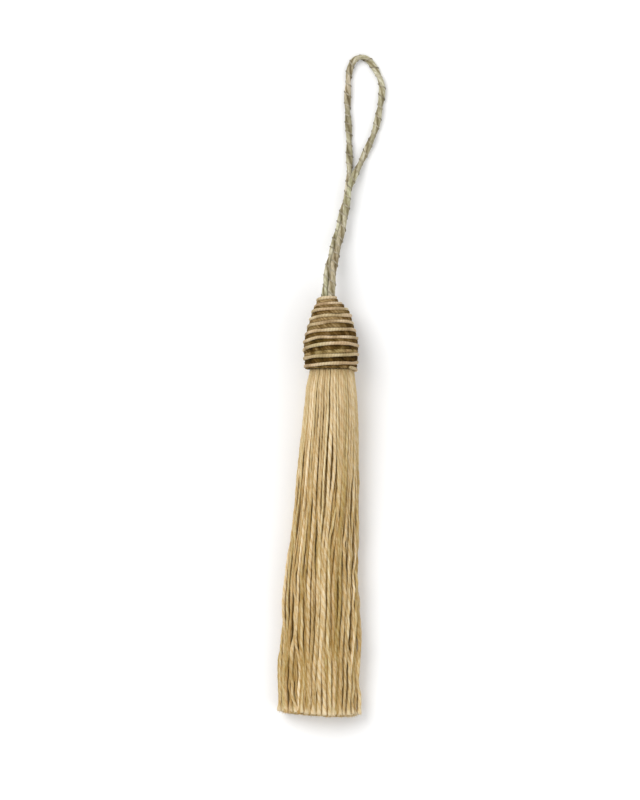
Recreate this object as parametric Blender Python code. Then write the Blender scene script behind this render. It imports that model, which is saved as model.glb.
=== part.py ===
"""Silk tassel, laid out on a flat surface.

The skirt is a hank of silk yarns, bound into a neck and cut level at the hem. Dark twisted cord is wound
over the neck into a bell-shaped head, a light gimp runs spirally over that winding, and a doubled cord makes
the hanging loop at the head's top.

The head and the skirt point along Y, the loop towards +Y. The surface is at Z = 0. Sizes are in millimetres,
and each mesh is scaled to metres as its points are made.
"""

from math import ceil, cos, floor, hypot, pi, radians, sin, tau
from random import Random
from typing import NamedTuple

import bmesh
import bpy
from mathutils import Vector, noise

MM = 0.001
GAP = 0.3

# Head
HEAD_X = 3.6
HEAD_FOOT_Y = 41.25
HEAD_AXIS_Z = 8.1
HEAD_HEIGHT = 21.75
HEAD_COLUMNS = 27
HEAD_ROWS = 40
BAND_RECESS = 0.4
GROOVE_DEPTH = 0.95
GROOVE_HALF_WIDTH = 1.05
GROOVE_LEAD = 0.06

# Gimp
GIMP_RADIUS = 0.45
GIMP_SIDES = 6
GIMP_STEPS_PER_TURN = 21
GIMP_START_TURN = -0.25

# Neck and strands
NECK_X = 3.93
NECK_RADIUS = 5.6
NECK_HEIGHT = 5.0
FLANGE_RADIUS = 6.65
FLANGE_HEIGHT = 0.8
ROOT_Y = HEAD_FOOT_Y - FLANGE_HEIGHT
GRID = 14
STRAND_GAP = (0.09, 0.14)
STRAND_SEED = 7
HEM_UNEVENNESS = 1.1
HEM_LEFT_RISE = 1.5
DRIFT = 0.45
DRIFT_SCALE = 0.2
CORNER_ANGLE = radians(44)

# Hanging loop: two plies laid together with a slow twist
CORD_DIAMETER = 1.9
CORD_LAY = 18.0
CORD_STEPS_PER_LAY = 9
CORD_SIDES = 8
PLY_GROOVE = 0.25


class HeadSection(NamedTuple):
    """Outer radius of the head at a height above its foot, and its centre's shift to the right."""

    height: float
    radius: float
    shift: float


class GimpPass(NamedTuple):
    """Height of the gimp at a turn, counted from its first pass over the front, and its sag at the back."""

    turn: float
    height: float
    tilt: float


class SkirtSection(NamedTuple):
    """Cross-section of the skirt at a drop below the strands' roots.

    Its outline runs from left to right and up to top. The belly is how far its round underside reaches
    below the middle before the surface flattens it.
    """

    drop: float
    left: float
    right: float
    top: float
    middle: float
    belly: float


HEAD_SECTIONS = (
    HeadSection(height=-1.00, radius=7.90, shift=0.0),
    HeadSection(height=0.00, radius=8.05, shift=0.0),
    HeadSection(height=2.70, radius=8.27, shift=0.0),
    HeadSection(height=5.10, radius=8.42, shift=0.0),
    HeadSection(height=8.00, radius=8.36, shift=0.0),
    HeadSection(height=10.10, radius=7.94, shift=0.0),
    HeadSection(height=12.30, radius=7.30, shift=0.0),
    HeadSection(height=13.80, radius=6.80, shift=0.0),
    HeadSection(height=16.00, radius=6.24, shift=0.0),
    HeadSection(height=17.55, radius=5.65, shift=-0.1),
    HeadSection(height=19.20, radius=4.55, shift=-0.5),
    HeadSection(height=21.30, radius=3.05, shift=-1.2),
    HeadSection(height=21.75, radius=2.80, shift=-1.3),
)

GIMP_PASSES = (
    GimpPass(turn=-0.25, height=21.40, tilt=0.10),
    GimpPass(turn=0.00, height=21.27, tilt=0.20),
    GimpPass(turn=1.00, height=19.65, tilt=0.40),
    GimpPass(turn=2.00, height=18.03, tilt=0.65),
    GimpPass(turn=3.00, height=16.11, tilt=0.80),
    GimpPass(turn=4.00, height=14.10, tilt=0.90),
    GimpPass(turn=5.00, height=11.82, tilt=1.00),
    GimpPass(turn=6.00, height=9.60, tilt=1.05),
    GimpPass(turn=7.00, height=7.59, tilt=1.20),
    GimpPass(turn=8.00, height=4.05, tilt=0.45),
    GimpPass(turn=9.00, height=1.56, tilt=0.20),
    GimpPass(turn=9.25, height=0.85, tilt=0.10),
    GimpPass(turn=9.50, height=0.30, tilt=0.00),
    GimpPass(turn=9.75, height=-0.25, tilt=0.00),
    GimpPass(turn=9.88, height=0.55, tilt=0.00),
)

SKIRT_SECTIONS = (
    SkirtSection(
        drop=0.0,
        left=NECK_X - FLANGE_RADIUS,
        right=NECK_X + FLANGE_RADIUS,
        top=HEAD_AXIS_Z + FLANGE_RADIUS,
        middle=HEAD_AXIS_Z,
        belly=FLANGE_RADIUS,
    ),
    SkirtSection(drop=5.5, left=-4.02, right=11.40, top=15.30, middle=7.4, belly=7.20),
    SkirtSection(drop=17.5, left=-5.15, right=12.20, top=14.60, middle=6.0, belly=8.70),
    SkirtSection(drop=60.0, left=-9.98, right=12.60, top=11.40, middle=4.7, belly=6.90),
    SkirtSection(drop=103.45, left=-12.90, right=12.90, top=9.60, middle=4.0, belly=5.90),
)

# The loop's route, from the head's top up its left side, round, and back down its right side.
LOOP_ROUTE = (
    (1.80, 63.30, 7.5),
    (2.05, 66.45, 7.2),
    (2.90, 72.15, 5.2),
    (4.30, 77.85, 2.6),
    (5.90, 83.85, 1.1),
    (7.20, 88.95, 1.0),
    (8.10, 92.25, 1.0),
    (8.85, 96.00, 1.0),
    (9.20, 101.00, 1.0),
    (9.15, 106.50, 1.0),
    (9.00, 112.70, 1.0),
    (8.65, 119.00, 1.0),
    (8.70, 125.50, 1.0),
    (9.15, 130.90, 1.0),
    (10.40, 134.05, 1.0),
    (12.40, 135.20, 1.0),
    (14.40, 134.70, 1.0),
    (16.20, 132.80, 1.0),
    (17.90, 129.80, 1.0),
    (18.90, 126.80, 1.0),
    (18.90, 123.60, 1.0),
    (18.40, 120.50, 1.0),
    (17.00, 113.60, 1.0),
    (14.10, 106.70, 1.0),
    (12.70, 103.80, 1.3),
    (11.30, 100.90, 2.0),
    (10.10, 98.30, 2.9),
    (9.15, 95.80, 3.2),
    (8.50, 92.25, 3.2),
    (8.15, 88.95, 3.1),
    (7.15, 83.85, 3.1),
    (5.65, 77.85, 4.6),
    (4.50, 72.15, 6.9),
    (3.90, 66.45, 8.5),
    (3.75, 63.30, 8.65),
)


def clear_scene() -> None:
    """Remove every object of the open scene."""
    for item in list(bpy.data.objects):
        bpy.data.objects.remove(item, do_unlink=True)


def fabric_material(name: str, colour: tuple, roughness: float) -> bpy.types.Material:
    """Make a plain, non-metallic fibre material."""
    material = bpy.data.materials.new(name)
    material.use_nodes = True
    shader = material.node_tree.nodes["Principled BSDF"]
    shader.inputs["Base Color"].default_value = (*colour, 1.0)
    shader.inputs["Roughness"].default_value = roughness
    shader.inputs["Metallic"].default_value = 0.0
    return material


def place_object(name: str, data: bpy.types.ID, material: bpy.types.Material) -> bpy.types.Object:
    """Put a mesh or a curve in the scene as one object of one material."""
    item = bpy.data.objects.new(name, data)
    item.data.materials.append(material)
    bpy.context.scene.collection.objects.link(item)
    return item


def finish_mesh(name: str, work: bmesh.types.BMesh, material: bpy.types.Material, smooth: float) -> None:
    """Turn a bmesh outside out, shade it smooth up to an angle between its faces, and place it."""
    bmesh.ops.recalc_face_normals(work, faces=work.faces)
    mesh = bpy.data.meshes.new(name)
    work.to_mesh(mesh)
    work.free()
    mesh.shade_smooth()
    mesh.set_sharp_from_angle(angle=smooth)
    place_object(name, mesh, material)


def add_point(work: bmesh.types.BMesh, x: float, y: float, z: float) -> bmesh.types.BMVert:
    """Add a point, given in millimetres, no lower than the surface."""
    return work.verts.new(Vector((x, y, max(z, 0.0))) * MM)


def bridge(work: bmesh.types.BMesh, first: list, second: list) -> None:
    """Join two rings of equally many points with a band of quads."""
    count = len(first)
    for i in range(count):
        after = (i + 1) % count
        work.faces.new((first[i], first[after], second[after], second[i]))


def read_table(rows: tuple, column: str, at: float) -> float:
    """Read a named column at a position in the table's first column, straight between its rows."""
    if at <= rows[0][0]:
        return getattr(rows[0], column)
    for low, high in zip(rows, rows[1:]):
        if at <= high[0]:
            share = (at - low[0]) / (high[0] - low[0])
            return getattr(low, column) * (1.0 - share) + getattr(high, column) * share
    return getattr(rows[-1], column)


def head_point(angle: float, height: float, radius: float) -> tuple[float, float, float]:
    """Place a point by its angle round the head's axis, from +X towards +Z, and its height up the head."""
    x = HEAD_X + read_table(HEAD_SECTIONS, "shift", height) + radius * cos(angle)
    return x, HEAD_FOOT_Y + height, HEAD_AXIS_Z + radius * sin(angle)


def gimp_angle(turn: float) -> float:
    """Angle round the head's axis at a turn of the gimp; whole turns are at the front."""
    return tau * turn + pi / 2


def gimp_height(turn: float) -> float:
    """Height of the gimp's centre line above the head's foot."""
    sag = read_table(GIMP_PASSES, "tilt", turn) * (1.0 - sin(gimp_angle(turn)))
    return read_table(GIMP_PASSES, "height", turn) - sag


def distance_to_gimp(angle: float, height: float) -> float:
    """Distance along the head from a point of it to the nearest pass of the gimp, or of its groove's ends."""
    offset = (angle - pi / 2) / tau
    first = ceil(GIMP_START_TURN - GROOVE_LEAD - offset)
    last = floor(GIMP_PASSES[-1].turn + GROOVE_LEAD - offset)
    return min(abs(height - gimp_height(offset + k)) for k in range(first, last + 1))


def steepness(height: float) -> float:
    """Length along the head's slope for each millimetre of height."""
    higher = read_table(HEAD_SECTIONS, "radius", height + 1.0)
    lower = read_table(HEAD_SECTIONS, "radius", height - 1.0)
    return hypot(1.0, (higher - lower) / 2)


def radius_below(height: float, depth: float) -> float:
    """Radius of the head at a depth under its outer surface, measured square to its slope."""
    return read_table(HEAD_SECTIONS, "radius", height) - depth * steepness(height)


def winding_radius(angle: float, height: float) -> float:
    """Radius of the dark winding: a rounded band of cord between the grooves that the gimp lies in."""
    reach = min(distance_to_gimp(angle, height) / (GROOVE_HALF_WIDTH * steepness(height)), 1.0)
    groove = GROOVE_DEPTH * cos(reach * pi / 2) ** 2
    return radius_below(height, BAND_RECESS + groove)


def build_head_wrap() -> None:
    """Wind the head: a bell of dark cord with the gimp's grooves, open below for the skirt's neck."""
    work = bmesh.new()
    angles = [tau * i / HEAD_COLUMNS for i in range(HEAD_COLUMNS)]
    socket_radius = NECK_RADIUS + GAP
    rings = []
    for depth in (NECK_HEIGHT + GAP, GAP):
        rings.append([
            add_point(
                work,
                NECK_X + socket_radius * cos(angle),
                HEAD_FOOT_Y + depth,
                HEAD_AXIS_Z + socket_radius * sin(angle),
            )
            for angle in angles
        ])
    for row in range(HEAD_ROWS + 1):
        height = GAP + (HEAD_HEIGHT - GAP) * row / HEAD_ROWS
        rings.append([
            add_point(work, *head_point(angle, height, winding_radius(angle, height)))
            for angle in angles
        ])
    for first, second in zip(rings, rings[1:]):
        bridge(work, first, second)
    work.faces.new(rings[0])
    work.faces.new(rings[-1])
    finish_mesh("head_wrap", work, fabric_material("dark_cord", (0.13, 0.085, 0.04), 0.85), radians(50))


def build_gimp() -> None:
    """Lay the light gimp spirally over the head, from its top to the loose end at its foot."""
    work = bmesh.new()
    span = GIMP_PASSES[-1].turn - GIMP_START_TURN
    steps = round(span * GIMP_STEPS_PER_TURN)
    rings = []
    for step in range(steps + 1):
        turn = GIMP_START_TURN + span * step / steps
        angle = gimp_angle(turn)
        height = gimp_height(turn)
        centre = radius_below(height, GIMP_RADIUS)
        ring = []
        for side in range(GIMP_SIDES):
            around = tau * side / GIMP_SIDES
            x, _, z = head_point(angle, height, centre + GIMP_RADIUS * cos(around))
            ring.append(add_point(work, x, HEAD_FOOT_Y + height + GIMP_RADIUS * sin(around), z))
        rings.append(ring)
    for first, second in zip(rings, rings[1:]):
        bridge(work, first, second)
    work.faces.new(rings[0])
    work.faces.new(rings[-1])
    finish_mesh("gimp", work, fabric_material("gimp", (0.62, 0.50, 0.33), 0.7), radians(65))


def outline_angle(across: float, up: float) -> float:
    """Angle on a section's outline for a point on the edge of the square -1 to 1.

    The square's lower side becomes the flat underside, and its other three sides the arch over it.
    """
    if up <= -1.0:
        return pi + CORNER_ANGLE + (pi - 2 * CORNER_ANGLE) * (across + 1) / 2
    if across >= 1.0:
        sides = (up + 1) / 2
    elif up >= 1.0:
        sides = 1 + (1 - across) / 2
    else:
        sides = 2 + (1 - up) / 2
    return -CORNER_ANGLE + (pi + 2 * CORNER_ANGLE) * sides / 3


def section_point(section: SkirtSection, across: float, up: float) -> tuple[float, float]:
    """Map a point of the square -1 to 1 into a section, so that the square's rings follow the outline."""
    centre = (section.left + section.right) / 2
    ring = max(abs(across), abs(up))
    if ring == 0.0:
        return centre, section.middle
    angle = outline_angle(across / ring, up / ring)
    rise = section.top - section.middle if sin(angle) > 0.0 else section.belly
    edge_x = (section.right - section.left) / 2 * cos(angle)
    edge_z = max(section.middle + rise * sin(angle), 0.0) - section.middle
    return centre + ring * edge_x, section.middle + ring * edge_z


def cell_corners(column: int, row: int, gap: float, to_outline: bool) -> list[tuple[float, float]]:
    """Corners of one strand in the square -1 to 1, with outer sides on the outline where asked."""
    low_gap_x = 0.0 if to_outline and column == 0 else gap
    high_gap_x = 0.0 if to_outline and column == GRID - 1 else gap
    low_gap_z = 0.0 if to_outline and row == 0 else gap
    high_gap_z = 0.0 if to_outline and row == GRID - 1 else gap
    left = 2 * (column + low_gap_x) / GRID - 1
    right = 2 * (column + 1 - high_gap_x) / GRID - 1
    below = 2 * (row + low_gap_z) / GRID - 1
    above = 2 * (row + 1 - high_gap_z) / GRID - 1
    return [(left, below), (right, below), (right, above), (left, above)]


def strand_drift(column: int, row: int, drop: float) -> float:
    """Sideways wander of a strand, alike for its neighbours, so that they never meet."""
    share = min(drop / SKIRT_SECTIONS[-1].drop * 2, 1.0)
    place = Vector((column * DRIFT_SCALE, row * DRIFT_SCALE, drop / 31.0 + 0.37))
    return DRIFT * share * noise.noise(place)


def grow_strand(work: bmesh.types.BMesh, column: int, row: int, rng: Random) -> list:
    """Grow one strand down through the skirt's sections, and give back the ring at its root."""
    gap = rng.uniform(*STRAND_GAP)
    leftness = 1.0 - column / (GRID - 1)
    shorter = HEM_LEFT_RISE * leftness ** 2 + rng.uniform(0.0, HEM_UNEVENNESS)
    rings = []
    for section in SKIRT_SECTIONS:
        drop = section.drop
        if section is SKIRT_SECTIONS[-1]:
            drop -= shorter
        drift = strand_drift(column, row, section.drop)
        ring = []
        for across, up in cell_corners(column, row, gap, section is not SKIRT_SECTIONS[0]):
            x, z = section_point(section, across, up)
            ring.append(add_point(work, x + drift, ROOT_Y - drop, z))
        rings.append(ring)
    for first, second in zip(rings, rings[1:]):
        bridge(work, first, second)
    work.faces.new(rings[-1])
    return rings[0]


def close_neck(work: bmesh.types.BMesh, rim: list) -> None:
    """Close the skirt above its strands: a flange under the head, and the bound neck that goes up into it."""
    flange_y = HEAD_FOOT_Y
    neck_top_y = HEAD_FOOT_Y + NECK_HEIGHT
    neck_share = NECK_RADIUS / FLANGE_RADIUS
    below = rim
    for share, y in ((1.0, flange_y), (neck_share, flange_y), (neck_share, neck_top_y)):
        ring = []
        for point in rim:
            x = NECK_X + (point.co.x / MM - NECK_X) * share
            z = HEAD_AXIS_Z + (point.co.z / MM - HEAD_AXIS_Z) * share
            ring.append(add_point(work, x, y, z))
        bridge(work, below, ring)
        below = ring
    work.faces.new(below)


def build_skirt() -> None:
    """Grow the four-sided strands out of the bound neck, fanned out and resting level on the surface."""
    work = bmesh.new()
    rng = Random(STRAND_SEED)
    grid = {}
    for column in range(GRID + 1):
        for row in range(GRID + 1):
            x, z = section_point(SKIRT_SECTIONS[0], 2 * column / GRID - 1, 2 * row / GRID - 1)
            grid[column, row] = add_point(work, x, ROOT_Y, z)
    for column in range(GRID):
        for row in range(GRID):
            cell = ((column, row), (column + 1, row), (column + 1, row + 1), (column, row + 1))
            bridge(work, [grid[corner] for corner in cell], grow_strand(work, column, row, rng))
    rim = [(i, 0) for i in range(GRID)] + [(GRID, i) for i in range(GRID)]
    rim += [(GRID - i, GRID) for i in range(GRID)] + [(0, GRID - i) for i in range(GRID)]
    close_neck(work, [grid[corner] for corner in rim])
    finish_mesh("skirt", work, fabric_material("silk_yarn", (0.52, 0.36, 0.17), 0.55), radians(35))


def curve_through(points: tuple, share: float) -> Vector:
    """Read a smooth curve through the points at a share of their number, from 0 to 1."""
    place = share * (len(points) - 1)
    index = min(int(place), len(points) - 2)
    t = place - index
    before, start, end, after = (
        Vector(points[max(0, min(index + k, len(points) - 1))]) for k in (-1, 0, 1, 2)
    )
    return 0.5 * (
        2 * start
        + (end - before) * t
        + (2 * before - 5 * start + 4 * end - after) * t ** 2
        + (3 * start - before - 3 * end + after) * t ** 3
    )


def even_points(points: tuple, spacing: float) -> list[Vector]:
    """Space points evenly, near the spacing asked for, along the smooth curve through a route."""
    fine = [curve_through(points, i / 1000) for i in range(1001)]
    reached = [0.0]
    for first, second in zip(fine, fine[1:]):
        reached.append(reached[-1] + (second - first).length)
    count = round(reached[-1] / spacing)
    spaced = []
    index = 0
    for i in range(count + 1):
        target = reached[-1] * i / count
        while index < len(fine) - 2 and reached[index + 1] < target:
            index += 1
        share = (target - reached[index]) / (reached[index + 1] - reached[index])
        spaced.append(fine[index].lerp(fine[index + 1], share))
    return spaced


def cord_profile() -> bpy.types.Object:
    """Draw the cord's section: two plies side by side, with a groove on each side between them."""
    curve = bpy.data.curves.new("cord_profile", "CURVE")
    curve.dimensions = "3D"
    spline = curve.splines.new("POLY")
    spline.points.add(CORD_SIDES - 1)
    spline.use_cyclic_u = True
    for side, point in enumerate(spline.points):
        angle = -tau * side / CORD_SIDES
        radius = CORD_DIAMETER / 2 * (1.0 - PLY_GROOVE * sin(angle) ** 4) * MM
        point.co = (radius * cos(angle), radius * sin(angle), 0.0, 1.0)
    profile = bpy.data.objects.new("cord_profile", curve)
    profile.hide_render = True
    profile.display_type = "WIRE"
    bpy.context.scene.collection.objects.link(profile)
    return profile


def build_hanging_loop() -> None:
    """Lay the doubled cord of the loop: out of the head's top, down to the surface, round and back."""
    curve = bpy.data.curves.new("hanging_loop", "CURVE")
    curve.dimensions = "3D"
    curve.bevel_mode = "OBJECT"
    curve.bevel_object = cord_profile()
    curve.use_fill_caps = True
    spline = curve.splines.new("POLY")
    points = even_points(LOOP_ROUTE, CORD_LAY / CORD_STEPS_PER_LAY)
    spline.points.add(len(points) - 1)
    for step, (target, point) in enumerate(zip(spline.points, points)):
        target.co = (*(point * MM), 1.0)
        target.tilt = tau * step / CORD_STEPS_PER_LAY
    place_object("hanging_loop", curve, fabric_material("loop_cord", (0.40, 0.36, 0.24), 0.8))


def main() -> None:
    """Build the whole tassel."""
    clear_scene()
    build_skirt()
    build_head_wrap()
    build_gimp()
    build_hanging_loop()


main()
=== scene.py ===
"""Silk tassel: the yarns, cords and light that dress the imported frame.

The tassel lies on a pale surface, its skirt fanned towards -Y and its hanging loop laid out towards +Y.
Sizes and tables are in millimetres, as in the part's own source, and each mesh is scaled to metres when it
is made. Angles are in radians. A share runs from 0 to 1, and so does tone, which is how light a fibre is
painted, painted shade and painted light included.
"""

import logging
from collections.abc import Callable
from dataclasses import dataclass, field
from enum import Enum
from typing import NamedTuple

import bpy
import numpy as np
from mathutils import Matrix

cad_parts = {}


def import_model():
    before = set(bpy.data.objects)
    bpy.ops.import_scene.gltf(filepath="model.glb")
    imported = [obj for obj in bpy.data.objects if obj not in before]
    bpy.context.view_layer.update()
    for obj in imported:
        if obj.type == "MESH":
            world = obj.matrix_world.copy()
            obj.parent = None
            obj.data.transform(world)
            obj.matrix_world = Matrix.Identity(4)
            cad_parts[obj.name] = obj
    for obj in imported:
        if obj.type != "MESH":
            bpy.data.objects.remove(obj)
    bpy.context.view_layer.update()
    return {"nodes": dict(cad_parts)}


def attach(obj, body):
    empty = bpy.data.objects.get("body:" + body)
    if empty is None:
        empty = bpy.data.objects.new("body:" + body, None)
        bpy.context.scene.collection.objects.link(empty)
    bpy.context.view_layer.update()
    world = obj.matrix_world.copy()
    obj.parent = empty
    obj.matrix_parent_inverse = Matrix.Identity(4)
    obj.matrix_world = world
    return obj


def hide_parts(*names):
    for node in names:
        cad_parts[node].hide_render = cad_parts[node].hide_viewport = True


LOG = logging.getLogger("silk_tassel")
BODY = "root"
MM = 0.001
TAU = 2.0 * np.pi
TO_THE_RIGHT = (1.0, 0.0, 0.0)

# Points that a free route, and a spiral, are traced with before they are spaced evenly.
ROUTE_STEPS = 2000
TURN_STEPS = 3000

# Direction in the fibre pattern from the place where one yarn starts to another's.
PATTERN_SHIFT = (3.1, 1.7, 1.0)

Colour = tuple[float, float, float]
Point = tuple[float, float, float]
Span = tuple[float, float]
Socket = bpy.types.NodeSocket


class Slot(Enum):
    """The record's material slots."""

    SILK = "silk_yarn"
    DARK = "dark_cord"
    GIMP = "gimp"
    LOOP = "loop_cord"


class Detail(Enum):
    """How finely a yarn is swept: the sides of its section and the length of a step along it."""

    FINE = (8, 0.58)
    PLAIN = (5, 2.6)


# ---------------------------------------------------------------------------------------------------------
# Tables shared with the frame
# ---------------------------------------------------------------------------------------------------------


class HeadSection(NamedTuple):
    """Outer radius of the head at a height above its foot, and its centre's shift to the right."""

    height: float
    radius: float
    shift: float


class GimpPass(NamedTuple):
    """Height of the gimp at a turn, counted from its first pass over the front, and its sag at the back."""

    turn: float
    height: float
    tilt: float


class SkirtSection(NamedTuple):
    """Cross-section of the skirt at a drop below the yarns' roots.

    Its outline runs from left to right and up to top. The belly is how far its round underside reaches
    below the middle before the surface flattens it.
    """

    drop: float
    left: float
    right: float
    top: float
    middle: float
    belly: float


# The head's axis runs along Y, and heights on the head are counted from its foot.
HEAD_X = 3.6
HEAD_AXIS_Z = 8.1
HEAD_FOOT_Y = 41.25

# Drops in the skirt are counted from its yarns' roots, towards -Y.
ROOT_Y = 40.45
SKIRT_LENGTH = 103.45

# The loop's cord, whose plies make a full twist in one lay.
CORD_DIAMETER = 2.0
CORD_LAY = 18.0

HEAD_SECTIONS = (
    HeadSection(height=-1.00, radius=7.90, shift=0.0),
    HeadSection(height=0.00, radius=8.05, shift=0.0),
    HeadSection(height=2.70, radius=8.27, shift=0.0),
    HeadSection(height=5.10, radius=8.42, shift=0.0),
    HeadSection(height=8.00, radius=8.36, shift=0.0),
    HeadSection(height=10.10, radius=7.94, shift=0.0),
    HeadSection(height=12.30, radius=7.30, shift=0.0),
    HeadSection(height=13.80, radius=6.80, shift=0.0),
    HeadSection(height=16.00, radius=6.24, shift=0.0),
    HeadSection(height=17.55, radius=5.65, shift=-0.1),
    HeadSection(height=19.20, radius=4.55, shift=-0.5),
    HeadSection(height=21.30, radius=3.05, shift=-1.2),
    HeadSection(height=21.75, radius=2.80, shift=-1.3),
)

GIMP_PASSES = (
    GimpPass(turn=-0.25, height=21.40, tilt=0.10),
    GimpPass(turn=0.00, height=21.27, tilt=0.20),
    GimpPass(turn=1.00, height=19.65, tilt=0.40),
    GimpPass(turn=2.00, height=18.03, tilt=0.65),
    GimpPass(turn=3.00, height=16.11, tilt=0.80),
    GimpPass(turn=4.00, height=14.10, tilt=0.90),
    GimpPass(turn=5.00, height=11.82, tilt=1.00),
    GimpPass(turn=6.00, height=9.60, tilt=1.05),
    GimpPass(turn=7.00, height=7.59, tilt=1.20),
    GimpPass(turn=8.00, height=4.05, tilt=0.45),
    GimpPass(turn=9.00, height=1.56, tilt=0.20),
    GimpPass(turn=9.25, height=0.85, tilt=0.10),
    GimpPass(turn=9.50, height=0.30, tilt=0.00),
    GimpPass(turn=9.75, height=-0.25, tilt=0.00),
    GimpPass(turn=9.88, height=0.55, tilt=0.00),
)

SKIRT_SECTIONS = (
    SkirtSection(drop=-1.5, left=-2.62, right=10.48, top=14.65, middle=8.1, belly=6.55),
    SkirtSection(drop=0.0, left=-2.80, right=10.62, top=14.80, middle=8.1, belly=6.65),
    SkirtSection(drop=5.0, left=-3.95, right=11.35, top=15.25, middle=7.4, belly=7.20),
    SkirtSection(drop=10.0, left=-4.40, right=11.85, top=15.20, middle=6.8, belly=8.00),
    SkirtSection(drop=17.5, left=-5.15, right=12.20, top=14.60, middle=6.0, belly=8.70),
    SkirtSection(drop=28.0, left=-6.20, right=12.45, top=13.80, middle=5.7, belly=8.20),
    SkirtSection(drop=45.0, left=-8.10, right=12.65, top=12.50, middle=5.2, belly=7.50),
    SkirtSection(drop=60.0, left=-9.98, right=12.60, top=11.40, middle=4.7, belly=6.90),
    SkirtSection(drop=80.0, left=-11.65, right=12.78, top=10.55, middle=4.3, belly=6.35),
    SkirtSection(drop=104.5, left=-12.95, right=12.90, top=9.60, middle=4.0, belly=5.90),
)

# The loop's route, from inside the head's top up its left side, round, and back down its right side.
LOOP_ROUTE = (
    (1.80, 63.30, 7.5),
    (2.05, 66.45, 7.2),
    (2.90, 72.15, 5.2),
    (4.30, 77.85, 2.6),
    (5.90, 83.85, 1.1),
    (7.20, 88.95, 1.0),
    (8.10, 92.25, 1.0),
    (8.85, 96.00, 1.0),
    (9.20, 101.00, 1.0),
    (9.15, 106.50, 1.0),
    (9.00, 112.70, 1.0),
    (8.65, 119.00, 1.0),
    (8.70, 125.50, 1.0),
    (9.15, 130.90, 1.0),
    (10.40, 134.05, 1.0),
    (12.40, 135.20, 1.0),
    (14.40, 134.70, 1.0),
    (16.20, 132.80, 1.0),
    (17.90, 129.80, 1.0),
    (18.90, 126.80, 1.0),
    (18.90, 123.60, 1.0),
    (18.40, 120.50, 1.0),
    (17.00, 113.60, 1.0),
    (14.10, 106.70, 1.0),
    (12.70, 103.80, 1.3),
    (11.30, 100.90, 2.0),
    (10.10, 98.30, 2.9),
    (9.15, 95.80, 3.2),
    (8.50, 92.25, 3.2),
    (8.15, 88.95, 3.1),
    (7.15, 83.85, 3.1),
    (5.65, 77.85, 4.6),
    (4.50, 72.15, 6.9),
    (3.90, 66.45, 8.5),
    (3.75, 63.30, 8.65),
)


# ---------------------------------------------------------------------------------------------------------
# Reading tables, noise and curves
# ---------------------------------------------------------------------------------------------------------


def column(rows: tuple, name: str) -> np.ndarray:
    """Give one named column of a table as an array."""
    return np.array([getattr(row, name) for row in rows])


def read_straight(rows: tuple, name: str, at: np.ndarray) -> np.ndarray:
    """Read a named column straight between a table's rows."""
    return np.interp(at, column(rows, rows[0]._fields[0]), column(rows, name))


def read_smooth(rows: tuple, name: str, at: np.ndarray) -> np.ndarray:
    """Read a named column along a smooth curve through a table's rows.

    Args:
        rows: the table, in the order of its first column.
        name: the column to read.
        at: positions in the first column.

    Returns:
        The column's values there, held level past the table's ends.
    """
    knots = column(rows, rows[0]._fields[0])
    values = column(rows, name)
    slopes = np.gradient(values, knots)
    at = np.clip(at, knots[0], knots[-1])
    index = np.clip(np.searchsorted(knots, at, side="right") - 1, 0, len(knots) - 2)
    width = knots[index + 1] - knots[index]
    t = (at - knots[index]) / width
    start = (2 * t**3 - 3 * t**2 + 1) * values[index] + (t**3 - 2 * t**2 + t) * width * slopes[index]
    end = (3 * t**2 - 2 * t**3) * values[index + 1] + (t**3 - t**2) * width * slopes[index + 1]
    return start + end


def ease(value: np.ndarray, start: float = 0.0, end: float = 1.0) -> np.ndarray:
    """Ease from 0 at a start to 1 at an end, level before and after.

    Args:
        value: the places to read.
        start: the place where the easing starts.
        end: the place where it ends.

    Returns:
        The eased share at each place.
    """
    share = np.clip((value - start) / (end - start), 0.0, 1.0)
    return share * share * (3.0 - 2.0 * share)


class SmoothField:
    """Seeded noise from -1 to 1 over a strip that wraps round in its first direction."""

    def __init__(self, rng: np.random.Generator, round_cells: int, along_cells: int) -> None:
        """Fill the strip's grid with random heights."""
        self.grid = rng.uniform(-1.0, 1.0, (round_cells, along_cells + 2))

    def read(self, around: np.ndarray, along: np.ndarray) -> np.ndarray:
        """Read the noise.

        Args:
            around: place round the strip, where 0 and 1 are the same.
            along: place along it, from 0 to 1.

        Returns:
            The noise at each place.
        """
        round_cells, knots = self.grid.shape
        u = np.mod(around, 1.0) * round_cells
        v = np.clip(along, 0.0, 1.0) * (knots - 2)
        i = np.floor(u).astype(int) % round_cells
        j = np.floor(v).astype(int)
        across = ease(u - np.floor(u))
        onward = ease(v - j)
        after = (i + 1) % round_cells
        near = self.grid[i, j] * (1 - across) + self.grid[after, j] * across
        far = self.grid[i, j + 1] * (1 - across) + self.grid[after, j + 1] * across
        return near * (1 - onward) + far * onward


@dataclass(frozen=True)
class Waver:
    """Seeded unevenness along one strand.

    Attributes:
        amount: how far it reaches either way.
        bends: how many times it can turn along the strand.
    """

    amount: float
    bends: int

    def draw(self, rng: np.random.Generator, along: np.ndarray) -> np.ndarray:
        """Draw new unevenness, and read it at shares of the strand's length."""
        return self.amount * SmoothField(rng, 1, self.bends).read(np.zeros_like(along), along)


def distance_along(path: np.ndarray) -> np.ndarray:
    """Distance of each point from the path's start."""
    return np.concatenate([[0.0], np.cumsum(np.linalg.norm(np.diff(path, axis=0), axis=1))])


def read_path(points: np.ndarray, reached: np.ndarray, wanted: np.ndarray) -> np.ndarray:
    """Read a path's points, or its directions, at the distances wanted along it."""
    return np.stack([np.interp(wanted, reached, points[:, axis]) for axis in range(3)], axis=1)


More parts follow.
